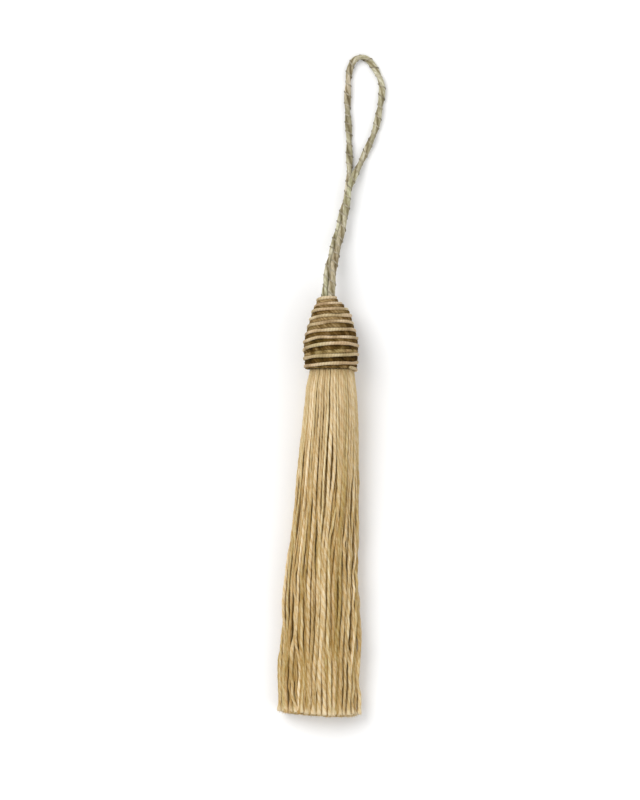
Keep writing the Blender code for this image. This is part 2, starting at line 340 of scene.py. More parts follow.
def curve_through(points: np.ndarray, step: float) -> np.ndarray:
    """Space points evenly along the smooth curve through a route.

    Args:
        points: the route's own points.
        step: the distance wanted between the new points.

    Returns:
        The new points, from the first of the route's to its last.
    """
    padded = np.vstack([points[:1], points, points[-1:]])
    place = np.linspace(0.0, len(points) - 1, ROUTE_STEPS)
    index = np.minimum(place.astype(int), len(points) - 2)
    t = (place - index)[:, None]
    before, start, end, after = (padded[index + k] for k in range(4))
    fine = 0.5 * (
        2 * start
        + (end - before) * t
        + (2 * before - 5 * start + 4 * end - after) * t**2
        + (3 * start - before - 3 * end + after) * t**3
    )
    reached = distance_along(fine)
    wanted = np.linspace(0.0, reached[-1], int(round(reached[-1] / step)) + 1)
    return read_path(fine, reached, wanted)


def even_turns(route: Callable[[np.ndarray], np.ndarray], turns: Span, step: float) -> np.ndarray:
    """Space turns so that the route through them has even steps.

    Args:
        route: gives the route's points at turns.
        turns: where the route starts and ends.
        step: the distance wanted between its points.

    Returns:
        The turns of the evenly spaced points.
    """
    rough = np.linspace(*turns, TURN_STEPS)
    reached = distance_along(route(rough))
    return np.interp(np.linspace(0.0, reached[-1], int(reached[-1] / step)), reached, rough)


def unit(vectors: np.ndarray) -> np.ndarray:
    """Scale vectors to a length of one."""
    return vectors / np.linalg.norm(vectors, axis=-1, keepdims=True)


def square_to(path: np.ndarray, sideways: np.ndarray) -> tuple[np.ndarray, np.ndarray]:
    """Turn sideways directions square to a path.

    Args:
        path: the path's points.
        sideways: one direction, or one for each point.

    Returns:
        The directions square to the path, and those square to both.
    """
    tangents = unit(np.gradient(path, axis=0))
    normals = unit(sideways - tangents * np.sum(sideways * tangents, axis=1, keepdims=True))
    return normals, np.cross(tangents, normals)


def carried_normals(path: np.ndarray, first: np.ndarray) -> np.ndarray:
    """Carry a sideways direction along a path without twisting it.

    Args:
        path: the path's points.
        first: the direction wanted at its start.

    Returns:
        One direction for each point, square to the path.
    """
    normals = np.empty_like(path)
    normal = first
    for i, tangent in enumerate(unit(np.gradient(path, axis=0))):
        normal = normal - tangent * float(np.dot(normal, tangent))
        normal = normal / np.linalg.norm(normal)
        normals[i] = normal
    return normals


def keep_above(points: np.ndarray, height: np.ndarray | float) -> None:
    """Raise the points that lie lower than a height above the surface."""
    points[..., 2] = np.maximum(points[..., 2], height)


def side_angles(sides: int) -> np.ndarray:
    """Angle of each side of a section."""
    return TAU * np.arange(sides) / sides


# ---------------------------------------------------------------------------------------------------------
# Swept strands
# ---------------------------------------------------------------------------------------------------------


@dataclass
class Strand:
    """One yarn, cord or thread, swept along a path.

    Attributes:
        path: centre points in millimetres.
        normals: one sideways direction, or one for each point.
        radius: radius at each point.
        relief: share of the radius for each side, or for each point and side.
        twist: turn of the section at each point.
        flatness: share of the radius kept along the normals.
        tone: lightness of the whole strand, of each point, or of each point and side, painted shade and
            light included.
        crest: how far each side stands out of the grooves, 0 to 1; the finish paints shade where it is low.
        wear: how far each point is lightened towards the light colour, 0 to 1: frayed cut ends, and the
            skirt's lighter neck.
        tint: hue of the dye, from 0, olive, to 1, rosy.
    """

    path: np.ndarray
    normals: np.ndarray
    radius: np.ndarray
    relief: np.ndarray | float = 1.0
    twist: np.ndarray | float = 0.0
    flatness: np.ndarray | float = 1.0
    tone: np.ndarray | float = 0.5
    crest: np.ndarray | float = 1.0
    wear: np.ndarray | float = 0.0
    tint: np.ndarray | float = 0.5

    def points(self, sides: int) -> np.ndarray:
        """Sweep the section along the path.

        Args:
            sides: the number of sides of the section.

        Returns:
            The surface's points, for each step of the path and each side.
        """
        normals, across = square_to(self.path, self.normals)
        angle = side_angles(sides) + np.reshape(self.twist, (-1, 1))
        radius = self.radius[:, None] * self.relief
        out = (radius * np.cos(angle) * np.reshape(self.flatness, (-1, 1)))[..., None] * normals[:, None]
        side = (radius * np.sin(angle))[..., None] * across[:, None]
        return self.path[:, None] + out + side

    def fibre(self, sides: int) -> np.ndarray:
        """Lay the strand out straight, for the fibre pattern.

        Args:
            sides: the number of sides of the section.

        Returns:
            Place of each surface point in the straightened strand, in millimetres.
        """
        shape = (len(self.path), sides)
        x = np.broadcast_to(self.radius[:, None] * np.cos(side_angles(sides)), shape)
        y = np.broadcast_to(self.radius[:, None] * np.sin(side_angles(sides)), shape)
        z = np.broadcast_to(distance_along(self.path)[:, None], shape)
        return np.stack([x, y, z], axis=-1)

    def marks(self, sides: int) -> np.ndarray:
        """Spread the marks that the finish reads over the surface.

        Args:
            sides: the number of sides of the section.

        Returns:
            Tone, crest, wear and tint of each surface point.
        """
        shape = (len(self.path), sides)
        parts = []
        for value in (self.tone, self.crest, self.wear, self.tint):
            value = np.asarray(value, dtype=float)
            if value.ndim == 1 and len(value) == shape[0]:
                value = value[:, None]
            parts.append(np.broadcast_to(value, shape))
        return np.stack(parts, axis=-1)


def tube_faces(rings: int, sides: int, first: int, clockwise: bool) -> list[list[int]]:
    """Face a closed tube: four-sided faces from ring to ring, and a cap at each end.

    Args:
        rings: the number of rings.
        sides: the number of points in a ring.
        first: number of the first ring's first point.
        clockwise: whether a ring's points run clockwise, seen from the tube's far end.

    Returns:
        The faces, each as the numbers of its points.
    """
    ring = np.arange(sides)
    after = (ring + 1) % sides
    base = first + np.arange(rings - 1)[:, None] * sides
    corners = [base + ring, base + after, base + sides + after, base + sides + ring]
    caps = [first + ring[::-1], first + (rings - 1) * sides + ring]
    if clockwise:
        corners = [corners[0], *corners[:0:-1]]
        caps = [cap[::-1] for cap in caps]
    return np.stack(corners, axis=-1).reshape(-1, 4).tolist() + [cap.tolist() for cap in caps]


@dataclass
class StrandMesh:
    """Gathers strands into one mesh, with the attributes that the finishes read.

    Attributes:
        name: name of the mesh and of its object.
        vertices: the surface points so far, in millimetres.
        fibres: the place of each in the fibre pattern.
        marks: the tone, crest, wear and tint of each.
        faces: the faces so far, each as the numbers of its points.
        count: how many points there are so far.
    """

    name: str
    vertices: list[np.ndarray] = field(default_factory=list)
    fibres: list[np.ndarray] = field(default_factory=list)
    marks: list[np.ndarray] = field(default_factory=list)
    faces: list[list[int]] = field(default_factory=list)
    count: int = 0

    def add(self, strand: Strand, sides: int, shift: float = 0.0) -> None:
        """Sweep a strand into the mesh.

        Args:
            strand: the strand.
            sides: the number of sides of its section.
            shift: moves the strand's fibre pattern, so that two strands differ.
        """
        fibre = strand.fibre(sides) + shift * np.array(PATTERN_SHIFT)
        self.add_tube(strand.points(sides), fibre, strand.marks(sides))

    def add_tube(
        self,
        points: np.ndarray,
        fibre: np.ndarray,
        marks: np.ndarray,
        clockwise: bool = False,
    ) -> None:
        """Add a closed tube, given ring by ring.

        Args:
            points: its points, for each ring and each side.
            fibre: place of each point in the fibre pattern.
            marks: tone, crest, wear and tint of each point.
            clockwise: whether a ring's points run clockwise, seen from the tube's far end.
        """
        rings, sides = points.shape[:2]
        self.faces.extend(tube_faces(rings, sides, self.count, clockwise))
        self.vertices.append(points.reshape(-1, 3))
        self.fibres.append(fibre.reshape(-1, 3))
        self.marks.append(marks.reshape(-1, 4))
        self.count += rings * sides

    def build(self, material: bpy.types.Material) -> bpy.types.Object:
        """Make the mesh and its object.

        Args:
            material: the finish of the whole mesh.

        Returns:
            The new object, in place in the scene.
        """
        mesh = bpy.data.meshes.new(self.name)
        mesh.from_pydata((np.vstack(self.vertices) * MM).tolist(), [], self.faces)
        marks = np.vstack(self.marks).astype(np.float32)
        for name, rows in (("fibre", np.vstack(self.fibres)), ("marks", marks[:, :3])):
            attribute = mesh.attributes.new(name, "FLOAT_VECTOR", "POINT")
            attribute.data.foreach_set("vector", rows.astype(np.float32).ravel())
        attribute = mesh.attributes.new("tint", "FLOAT", "POINT")
        attribute.data.foreach_set("value", marks[:, 3].copy())
        mesh.materials.append(material)
        mesh.shade_smooth()
        mesh.update()
        item = bpy.data.objects.new(self.name, mesh)
        bpy.context.scene.collection.objects.link(item)
        return item


def dress(item: bpy.types.Object, slot: Slot, *nodes: str) -> None:
    """Fit a finished piece to the frame.

    Args:
        item: the piece, which rides on the body.
        slot: not used.
        nodes: the frame's nodes that it stands for.
    """
    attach(item, BODY)
    if nodes:
        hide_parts(*nodes)


# ---------------------------------------------------------------------------------------------------------
# Finishes
# ---------------------------------------------------------------------------------------------------------


def opaque(colour: Colour) -> tuple[float, float, float, float]:
    """Give a colour the full cover that a socket asks for."""
    return (*colour, 1.0)


class FinishNodes:
    """Adds the nodes of one material and links them."""

    MIX_INPUTS = (0, 6, 7)
    MIX_RESULT = 2
    NOISE_DETAIL = 3.0

    def __init__(self, material: bpy.types.Material) -> None:
        """Take the material's own nodes and links."""
        self.nodes = material.node_tree.nodes
        self.links = material.node_tree.links

    def feed(self, target: Socket, value: Socket | float | Colour) -> None:
        """Link a socket to a node's input, or set a number or colour on it.

        Args:
            target: the node's input.
            value: what it takes.
        """
        if isinstance(value, Socket):
            self.links.new(value, target)
        elif isinstance(value, tuple):
            target.default_value = opaque(value)
        else:
            target.default_value = value

    def attribute(self, name: str, output: str = "Vector") -> Socket:
        """Read one of the strands' attributes.

        Args:
            name: the attribute's name.
            output: the kind of value that it is read as.

        Returns:
            The attribute's value.
        """
        node = self.nodes.new("ShaderNodeAttribute")
        node.attribute_name = name
        return node.outputs[output]

    def arithmetic(self, operation: str, *values: Socket | float) -> Socket:
        """Add a math node.

        Args:
            operation: the node's operation.
            values: its inputs, in order.

        Returns:
            The node's result.
        """
        node = self.nodes.new("ShaderNodeMath")
        node.operation = operation
        for target, value in zip(node.inputs, values):
            self.feed(target, value)
        return node.outputs[0]

    def varied(self, pattern: Socket, reach: float, middle: float = 0.0) -> Socket:
        """Turn a pattern from 0 to 1 into one that varies evenly about a middle value."""
        return self.arithmetic("MULTIPLY_ADD", pattern, reach, middle - reach / 2)

    def mix(self, blend: str, share: Socket | float, first: Socket, second: Socket | Colour) -> Socket:
        """Blend two colours.

        Args:
            blend: the way they blend.
            share: share of the second colour.
            first: the first colour.
            second: the second colour.

        Returns:
            The blended colour.
        """
        node = self.nodes.new("ShaderNodeMix")
        node.data_type = "RGBA"
        node.blend_type = blend
        for place, value in zip(self.MIX_INPUTS, (share, first, second)):
            self.feed(node.inputs[place], value)
        return node.outputs[self.MIX_RESULT]

    def ramp(self, place: Socket, low: Colour, middle: Colour, high: Colour) -> Socket:
        """Read a colour between three.

        Args:
            place: where to read, from 0 to 1.
            low: the colour at 0.
            middle: the colour at one half.
            high: the colour at 1.

        Returns:
            The colour read.
        """
        node = self.nodes.new("ShaderNodeValToRGB")
        stops = node.color_ramp.elements
        stops[0].color = opaque(low)
        stops[1].color = opaque(high)
        stops.new(0.5).color = opaque(middle)
        self.links.new(place, node.inputs["Fac"])
        return node.outputs["Color"]

    def streaks(self, fibre: Socket, scale: float, stretch: float) -> Socket:
        """Noise that is drawn out along the strand.

        Args:
            fibre: place in the straightened strand.
            scale: streaks for each millimetre across it.
            stretch: how many times longer than wide a streak is.

        Returns:
            The noise, from 0 to 1.
        """
        mapping = self.nodes.new("ShaderNodeMapping")
        mapping.inputs["Scale"].default_value = (scale, scale, scale / stretch)
        noise = self.nodes.new("ShaderNodeTexNoise")
        noise.inputs["Scale"].default_value = 1.0
        noise.inputs["Detail"].default_value = self.NOISE_DETAIL
        self.links.new(fibre, mapping.inputs["Vector"])
        self.links.new(mapping.outputs["Vector"], noise.inputs["Vector"])
        return noise.outputs["Fac"]


@dataclass(frozen=True)
class FibreFinish:
    """A finish of spun fibre, streaked along the strand and darkened in its grooves with painted shade.

    Attributes:
        name: the material's name.
        shade: colour of the darkest strands, and of the painted shade on the deepest ones.
        middle: colour of most strands.
        light: colour of the lightest strands.
        groove: how strongly the grooves are darkened with painted shade, 0 to 1.
        groove_shade_tint: colour of the painted shade that the grooves are multiplied by.
        roughness: mean roughness of the fibre.
        sheen: weight of the soft sheen.
        streak_scale: streaks for each millimetre across the strand.
        streak_stretch: how many times longer than wide a streak is.
        bump: height of the fibres in millimetres.
        mottle: strength of the lighter and darker blotches, in tone.
        streak: strength of the fine streaks, in tone.
        specular: strength of the gloss.
        olive: colour that the most olive strands are multiplied by.
        undyed: colour that strands between the two are multiplied by.
        rosy: colour that the rosiest strands are multiplied by.
        blotch_scale: width of a streak as a share of a blotch's.
        roughness_range: how far the roughness varies from streak to streak.
        bump_strength: strength of the fibres' relief.
        sheen_roughness: roughness of the soft sheen.
    """

    name: str
    shade: Colour
    middle: Colour
    light: Colour
    groove: float
    groove_shade_tint: Colour
    roughness: float
    sheen: float
    streak_scale: float
    streak_stretch: float
    bump: float
    mottle: float
    streak: float = 0.42
    specular: float = 0.25
    olive: Colour = (0.93, 1.0, 0.88)
    undyed: Colour = (1.0, 1.0, 1.0)
    rosy: Colour = (1.04, 0.96, 0.95)
    blotch_scale: float = 0.22
    roughness_range: float = 0.16
    bump_strength: float = 0.6
    sheen_roughness: float = 0.4

    def build(self) -> bpy.types.Material:
        """Make the material.

        Returns:
            The material, with its nodes linked.
        """
        material = bpy.data.materials.new(self.name)
        material.use_nodes = True
        tree = FinishNodes(material)
        fibre = tree.attribute("fibre")
        streaks = tree.streaks(fibre, self.streak_scale, self.streak_stretch)
        blotches = tree.streaks(fibre, self.streak_scale * self.blotch_scale, self.streak_stretch)
        shader = tree.nodes["Principled BSDF"]
        tree.feed(shader.inputs["Base Color"], self.colour(tree, streaks, blotches))
        tree.feed(shader.inputs["Roughness"], tree.varied(streaks, self.roughness_range, self.roughness))
        tree.feed(shader.inputs["Normal"], self.relief(tree, streaks))
        tree.feed(shader.inputs["Specular IOR Level"], self.specular)
        tree.feed(shader.inputs["Sheen Weight"], self.sheen)
        tree.feed(shader.inputs["Sheen Roughness"], self.sheen_roughness)
        tree.feed(shader.inputs["Sheen Tint"], self.light)
        return material

    def colour(self, tree: FinishNodes, streaks: Socket, blotches: Socket) -> Socket:
        """Colour the fibre from the strands' marks, with painted shade in its grooves.

        Args:
            tree: the material's nodes.
            streaks: the fine streaks.
            blotches: the broad blotches.

        Returns:
            The fibre's colour.
        """
        marks = tree.nodes.new("ShaderNodeSeparateXYZ")
        tree.feed(marks.inputs[0], tree.attribute("marks"))
        strand_tone, crest, wear = marks.outputs
        tone = tree.arithmetic("ADD", tree.varied(streaks, self.streak), strand_tone)
        tone = tree.arithmetic("ADD", tone, tree.varied(blotches, self.mottle))
        fibre = tree.ramp(tone, self.shade, self.middle, self.light)
        dye = tree.ramp(tree.attribute("tint", "Fac"), self.olive, self.undyed, self.rosy)
        # Painted shade in the grooves: the lower the crest, the more the groove tint darkens the colour.
        depth = tree.arithmetic("MULTIPLY_ADD", crest, -self.groove, self.groove)
        dyed = tree.mix("MULTIPLY", 1.0, fibre, dye)
        groove_shaded = tree.mix("MULTIPLY", depth, dyed, self.groove_shade_tint)
        return tree.mix("MIX", wear, groove_shaded, self.light)

    def relief(self, tree: FinishNodes, streaks: Socket) -> Socket:
        """Raise the fibres a little.

        Args:
            tree: the material's nodes.
            streaks: the fine streaks.

        Returns:
            The surface's direction.
        """
        bump = tree.nodes.new("ShaderNodeBump")
        tree.feed(bump.inputs["Strength"], self.bump_strength)
        tree.feed(bump.inputs["Distance"], self.bump * MM)
        tree.feed(bump.inputs["Height"], streaks)
        return bump.outputs["Normal"]


# Each finish's groove strength and groove tint paint shade into the grooves of its strands.
SILK_FINISH = FibreFinish(
    name="silk_yarn",
    shade=(0.36, 0.245, 0.085),
    middle=(0.55, 0.42, 0.225),
    light=(0.78, 0.66, 0.455),
    groove=0.56,
    groove_shade_tint=(0.80, 0.55, 0.13),
    roughness=0.42,
    sheen=0.04,
    streak_scale=4.2,
    streak_stretch=3.0,
    bump=0.12,
    mottle=0.7,
    streak=0.95,
    specular=0.1,
    olive=(0.94, 1.0, 0.88),
    rosy=(1.02, 0.98, 0.965),
)
DARK_FINISH = FibreFinish(
    name="dark_cord",
    shade=(0.020, 0.010, 0.001),
    middle=(0.125, 0.072, 0.016),
    light=(0.44, 0.32, 0.15),
    groove=0.5,
    groove_shade_tint=(0.30, 0.22, 0.14),
    roughness=0.9,
    sheen=0.0,
    streak_scale=2.6,
    streak_stretch=3.0,
    bump=0.08,
    mottle=0.9,
    streak=0.7,
    specular=0.04,
)
GIMP_FINISH = FibreFinish(
    name="gimp",
    shade=(0.27, 0.185, 0.085),
    middle=(0.52, 0.40, 0.235),
    light=(0.72, 0.60, 0.42),
    groove=0.7,
    groove_shade_tint=(0.50, 0.40, 0.28),
    roughness=0.6,
    sheen=0.1,
    streak_scale=2.2,
    streak_stretch=2.2,
    bump=0.07,
    mottle=0.9,
)
LOOP_FINISH = FibreFinish(
    name="loop_cord",
    shade=(0.14, 0.115, 0.055),
    middle=(0.38, 0.34, 0.22),
    light=(0.74, 0.70, 0.57),
    groove=0.9,
    groove_shade_tint=(0.34, 0.27, 0.13),
    roughness=0.65,
    sheen=0.1,
    streak_scale=4.2,
    streak_stretch=4.0,
    bump=0.12,
    mottle=1.1,
    streak=1.1,
)
THREAD_FINISH = FibreFinish(
    name="loop_thread",
    shade=(0.10, 0.08, 0.05),
    middle=(0.27, 0.235, 0.165),
    light=(0.55, 0.50, 0.38),
    groove=0.5,
    groove_shade_tint=(0.5, 0.45, 0.4),
    roughness=0.7,
    sheen=0.0,
    streak_scale=2.0,
    streak_stretch=3.0,
    bump=0.04,
    mottle=1.6,
    specular=0.15,
)


# ---------------------------------------------------------------------------------------------------------
# Skirt
# ---------------------------------------------------------------------------------------------------------


@dataclass
class SkirtShape:
    """The skirt's outline at every drop, read by a share of the way round it.

    Attributes:
        stations: outlines worked out, from the roots down.
        places: places kept round each outline.
        traced: points that each outline is traced with before its places are spaced evenly.
    """

    stations: int = 90
    places: int = 480
    traced: int = 721

    def __post_init__(self) -> None:
        """Work the outlines out, with places evenly spaced round each."""
        self.drops = np.linspace(SKIRT_SECTIONS[0].drop, SKIRT_SECTIONS[-1].drop, self.stations)
        left, right, top, middle, belly = (
            read_smooth(SKIRT_SECTIONS, name, self.drops) for name in SkirtSection._fields[1:]
        )
        self.centre_x = (left + right) / 2
        self.middle_z = middle
        self.edge_x = np.empty((self.stations, self.places + 1))
        self.edge_z = np.empty_like(self.edge_x)
        self.girth = np.empty(self.stations)
        angle = np.linspace(0.0, TAU, self.traced) - np.pi / 2
        share = np.linspace(0.0, 1.0, self.places + 1)
        for i in range(self.stations):
            rise = np.where(np.sin(angle) > 0.0, top[i] - middle[i], belly[i])
            x = (right[i] - left[i]) / 2 * np.cos(angle)
            z = np.maximum(middle[i] + rise * np.sin(angle), 0.0) - middle[i]
            reached = distance_along(np.stack([x, z], axis=1))
            self.girth[i] = reached[-1]
            self.edge_x[i] = np.interp(share * reached[-1], reached, x)
            self.edge_z[i] = np.interp(share * reached[-1], reached, z)

    def girth_at(self, drop: np.ndarray) -> np.ndarray:
        """Length of the outline at each drop."""
        return np.interp(drop, self.drops, self.girth)

    def place(self, drop: np.ndarray, around: np.ndarray, reach: np.ndarray) -> np.ndarray:
        """Place points in the skirt.

        Args:
            drop: distance below the roots.
            around: share of the way round the outline, from the underside's middle.
            reach: share of the way from the skirt's middle to its outline.

        Returns:
            The points in millimetres.
        """
        station = np.interp(drop, self.drops, np.arange(self.stations))
        upper = np.clip(station.astype(int), 0, self.stations - 2)
        lowered = station - upper
        turned = np.mod(around, 1.0) * self.places
        before = np.clip(turned.astype(int), 0, self.places - 1)
        onward = turned - before
        edges = []
        for table in (self.edge_x, self.edge_z):
            above = table[upper, before] * (1 - onward) + table[upper, before + 1] * onward
            below = table[upper + 1, before] * (1 - onward) + table[upper + 1, before + 1] * onward
            edges.append(above * (1 - lowered) + below * lowered)
        x = np.interp(drop, self.drops, self.centre_x) + reach * edges[0]
        z = np.interp(drop, self.drops, self.middle_z) + reach * edges[1]
        return np.stack([x, ROOT_Y - drop, z], axis=-1)


@dataclass
class YarnCourse:
    """How one yarn hangs, at each step from its root to its cut end.

    Attributes:
        reach: share of the way from the skirt's middle to its outline.
        drop: distance below the roots.
        along: share of the skirt's length.
        loose: how far it has come free of the neck, 0 to 1.
        tip: how near it is to its cut end, 0 to 1.
        place: share of the way round the skirt.
        lift: how far it stands out of its ring, in millimetres.
        parted: how far the locks have parted, 0 to 1.
        between: 0 in the middle of a lock and 1 midway between two.
    """

    reach: float
    drop: np.ndarray
    along: np.ndarray
    loose: np.ndarray
    tip: np.ndarray
    place: np.ndarray
    lift: float = 0.0
    parted: np.ndarray | float = 0.0
    between: np.ndarray | float = 0.0


@dataclass(frozen=True)
class HemCut:
    """How level the hem is cut, in millimetres.

    Attributes:
        left_rise: how much shorter the yarns at the left are.
        unevenness: how much shorter than its neighbours a yarn may be.
        reaches: reach of the inner yarns and of the outer ones.
        lengthening: how much longer each of those two is than the rest.
    """

    left_rise: float = 1.25
    unevenness: float = 0.55
    reaches: Span = (0.75, 0.95)
    lengthening: Span = (0.35, -0.15)

    def draw_length(self, rng: np.random.Generator, around: float, reach: float) -> float:
        """Draw the length of a yarn below its root.

        Args:
            rng: the skirt's random numbers.
            around: the yarn's share of the way round the skirt.
            reach: its share of the way out.

        Returns:
            The length in millimetres.
        """
        leftness = 0.5 - 0.5 * np.sin(TAU * around) * reach
        length = SKIRT_LENGTH - self.left_rise * leftness**2 - rng.uniform(0.0, self.unevenness)
        return length + np.interp(reach, self.reaches, self.lengthening)


@dataclass(frozen=True)
class YarnSway:
    """How far the yarns stray from straight lines, in millimetres.

    Attributes:
        shared: sway that neighbours share.
        own: sway of a yarn's own.
        stray: own sway of a stray yarn.
        own_bends: how many times the own sway can turn along the yarn.
        stray_share: share of the yarns that stray.
        stray_lift: how far a stray yarn may stand out of its ring.
        fine: the fine wavering of every yarn.
        depth: the wavering in and out of the ring.
        early_depth: share of that wavering that starts right below the roots.
        early: shares of the length between which it starts.
    """

    shared: float = 0.9
    own: float = 0.42
    stray: float = 0.9
    own_bends: int = 8
    stray_share: float = 0.14
    stray_lift: float = 0.35
    fine: Waver = Waver(0.12, 34)
    depth: Waver = Waver(0.3, 9)
    early_depth: float = 0.35
    early: Span = (0.0, 1 / 12)

    def draw(
        self,
        rng: np.random.Generator,
        along: np.ndarray,
        shared: np.ndarray,
    ) -> tuple[np.ndarray, float]:
        """Draw how far a yarn strays.

        Args:
            rng: the skirt's random numbers.
            along: shares of the skirt's length.
            shared: the sway of the yarn's neighbourhood, from -1 to 1.

        Returns:
            Its sway to the side, and how far it stands out of its ring.
        """
        own = Waver(1.0, self.own_bends).draw(rng, along)
        reach = self.own
        lift = 0.0
        if rng.uniform() < self.stray_share:
            reach = self.stray
            lift = rng.uniform(0.0, self.stray_lift)
        return self.shared * shared + reach * own + self.fine.draw(rng, along), lift

    def draw_depth(self, rng: np.random.Generator, course: YarnCourse) -> np.ndarray:
        """Draw how far a yarn wavers in and out of its ring.

        Args:
            rng: the skirt's random numbers.
            course: the yarn's course.

        Returns:
            The distance outwards at each step, in millimetres.
        """
        early = self.early_depth * ease(course.along, *self.early)
        return self.depth.draw(rng, course.along) * (early + (1.0 - self.early_depth) * course.loose)


@dataclass(frozen=True)
class LockPull:
    """How neighbouring yarns draw together into locks.

    Attributes:
        count: locks round the skirt.
        drift: how far the locks drift to the side on their way down.
        ring_shift: how far they are shifted from the outermost yarns to the middle ones.
        strength: how strongly the yarns draw together, where 1 closes a lock.
        grip: mean grip of a lock, as a share of that strength.
        grip_range: how far the grip varies.
        inner_strength: share of the strength that is left in the inner rings.
        inner_reaches: reaches between which the full strength comes in.
        early_parting: share of the parting that comes as the yarns get free of the neck.
        parting: shares of the length between which the rest comes.
        hem_pull: how much stronger the pull is at the hem.
        hem: shares of the length between which that comes in.
        tip_release: share of the pull that the cut ends let go.
        tip_length: length of yarn that lets go.
        relief: how far whole locks stand proud or sink, in millimetres.
        trough: how deep the yarns between two locks lie, in millimetres.
    """

    count: int = 34
    drift: float = 2.4
    ring_shift: float = 8.0
    strength: float = 0.75
    grip: float = 0.8
    grip_range: float = 0.35
    inner_strength: float = 0.35
    inner_reaches: Span = (0.68, 0.84)
    early_parting: float = 0.35
    parting: Span = (0.2, 0.2 + 1 / 1.7)
    hem_pull: float = 0.8
    hem: Span = (4.7 / 6, 5.7 / 6)
    tip_release: float = 0.35
    tip_length: float = 4.5
    relief: float = 0.36
    trough: float = 0.3

    def gather(self, course: YarnCourse, drift: np.ndarray, grip: SmoothField) -> None:
        """Draw a yarn into its lock.

        Args:
            course: the yarn's course, which is moved.
            drift: how the locks drift where it hangs, from -1 to 1.
            grip: how the locks' grip varies over the skirt.
        """
        wave = TAU * self.count * course.place + self.drift * drift
        wave = wave + self.ring_shift * (1.0 - course.reach)
        late = ease(course.along, *self.parting)
        course.parted = self.early_parting * course.loose + (1.0 - self.early_parting) * late
        course.between = (1.0 - np.cos(wave)) / 2
        held = np.interp(course.reach, self.inner_reaches, (self.inner_strength, 1.0))
        gripped = self.grip + self.grip_range * grip.read(course.place, course.along)
        at_hem = 1.0 + self.hem_pull * ease(course.along, *self.hem)
        let_go = 1.0 - self.tip_release * ease(course.drop - course.drop[-1], -self.tip_length, 0.0)
        pull = self.strength * held * gripped * course.parted * at_hem * let_go
        course.place = course.place - pull * np.sin(wave) / (TAU * self.count)


@dataclass(frozen=True)
class YarnMake:
    """How the skirt's yarns are spun.

    Attributes:
        radius: radius over both plies.
        radius_range: least and greatest share of it.
        slubs: thick and thin stretches, as a share of the radius.
        hem_fullness: how much fuller a yarn gets where nothing binds it.
        filling: shares of the length between which it fills.
        inner_fullness: how much fuller the inner yarns are.
        inner_reaches: reaches between which that fades out.
        tip_fullness: how much the cut end flares.
        cut_share: share of the radius left at the cut's rounded edge.
        lay: length of a full twist of the plies.
        lay_range: least and greatest share of it.
        ply_groove: depth of the groove between the plies, as a share of the radius.
        groove_sharpness: how narrow that groove is.
        floor_room: least height of a yarn's middle above the surface, in radii.
    """

    radius: float = 0.44
    radius_range: Span = (0.78, 1.2)
    slubs: Waver = Waver(0.14, 46)
    hem_fullness: float = 0.2
    filling: Span = (3 / 13, 1.0)
    inner_fullness: float = 0.32
    inner_reaches: Span = (0.68, 0.88)
    tip_fullness: float = 0.36
    cut_share: float = 0.86
    lay: float = 6.4
    lay_range: Span = (0.8, 1.3)
    ply_groove: float = 0.14
    groove_sharpness: int = 4
    floor_room: float = 1.02

    def draw_radius(self, rng: np.random.Generator, course: YarnCourse) -> np.ndarray:
        """Draw how thick a yarn is.

        Args:
            rng: the skirt's random numbers.
            course: the yarn's course.

        Returns:
            Its radius at each step.
        """
        radius = self.radius * rng.uniform(*self.radius_range)
        slubs = 1.0 + self.slubs.draw(rng, course.along)
        fuller = 1.0 + self.hem_fullness * ease(course.along, *self.filling)
        inner = np.interp(course.reach, self.inner_reaches, (1.0, 0.0))
        radii = radius * slubs * fuller * (1.0 + self.tip_fullness * course.tip)
        radii = radii * (1.0 + self.inner_fullness * inner * course.loose)
        radii[-1] *= self.cut_share
        return radii

    def draw_twist(self, rng: np.random.Generator, path: np.ndarray) -> np.ndarray:
        """Draw how a yarn's plies turn along its path."""
        lay = self.lay * rng.uniform(*self.lay_range)
        return -TAU * distance_along(path) / lay + rng.uniform(0.0, TAU)

    def groove(self, sides: int) -> np.ndarray:
        """Depth of the groove between the plies at each side, 0 to 1."""
        return np.sin(side_angles(sides)) ** self.groove_sharpness


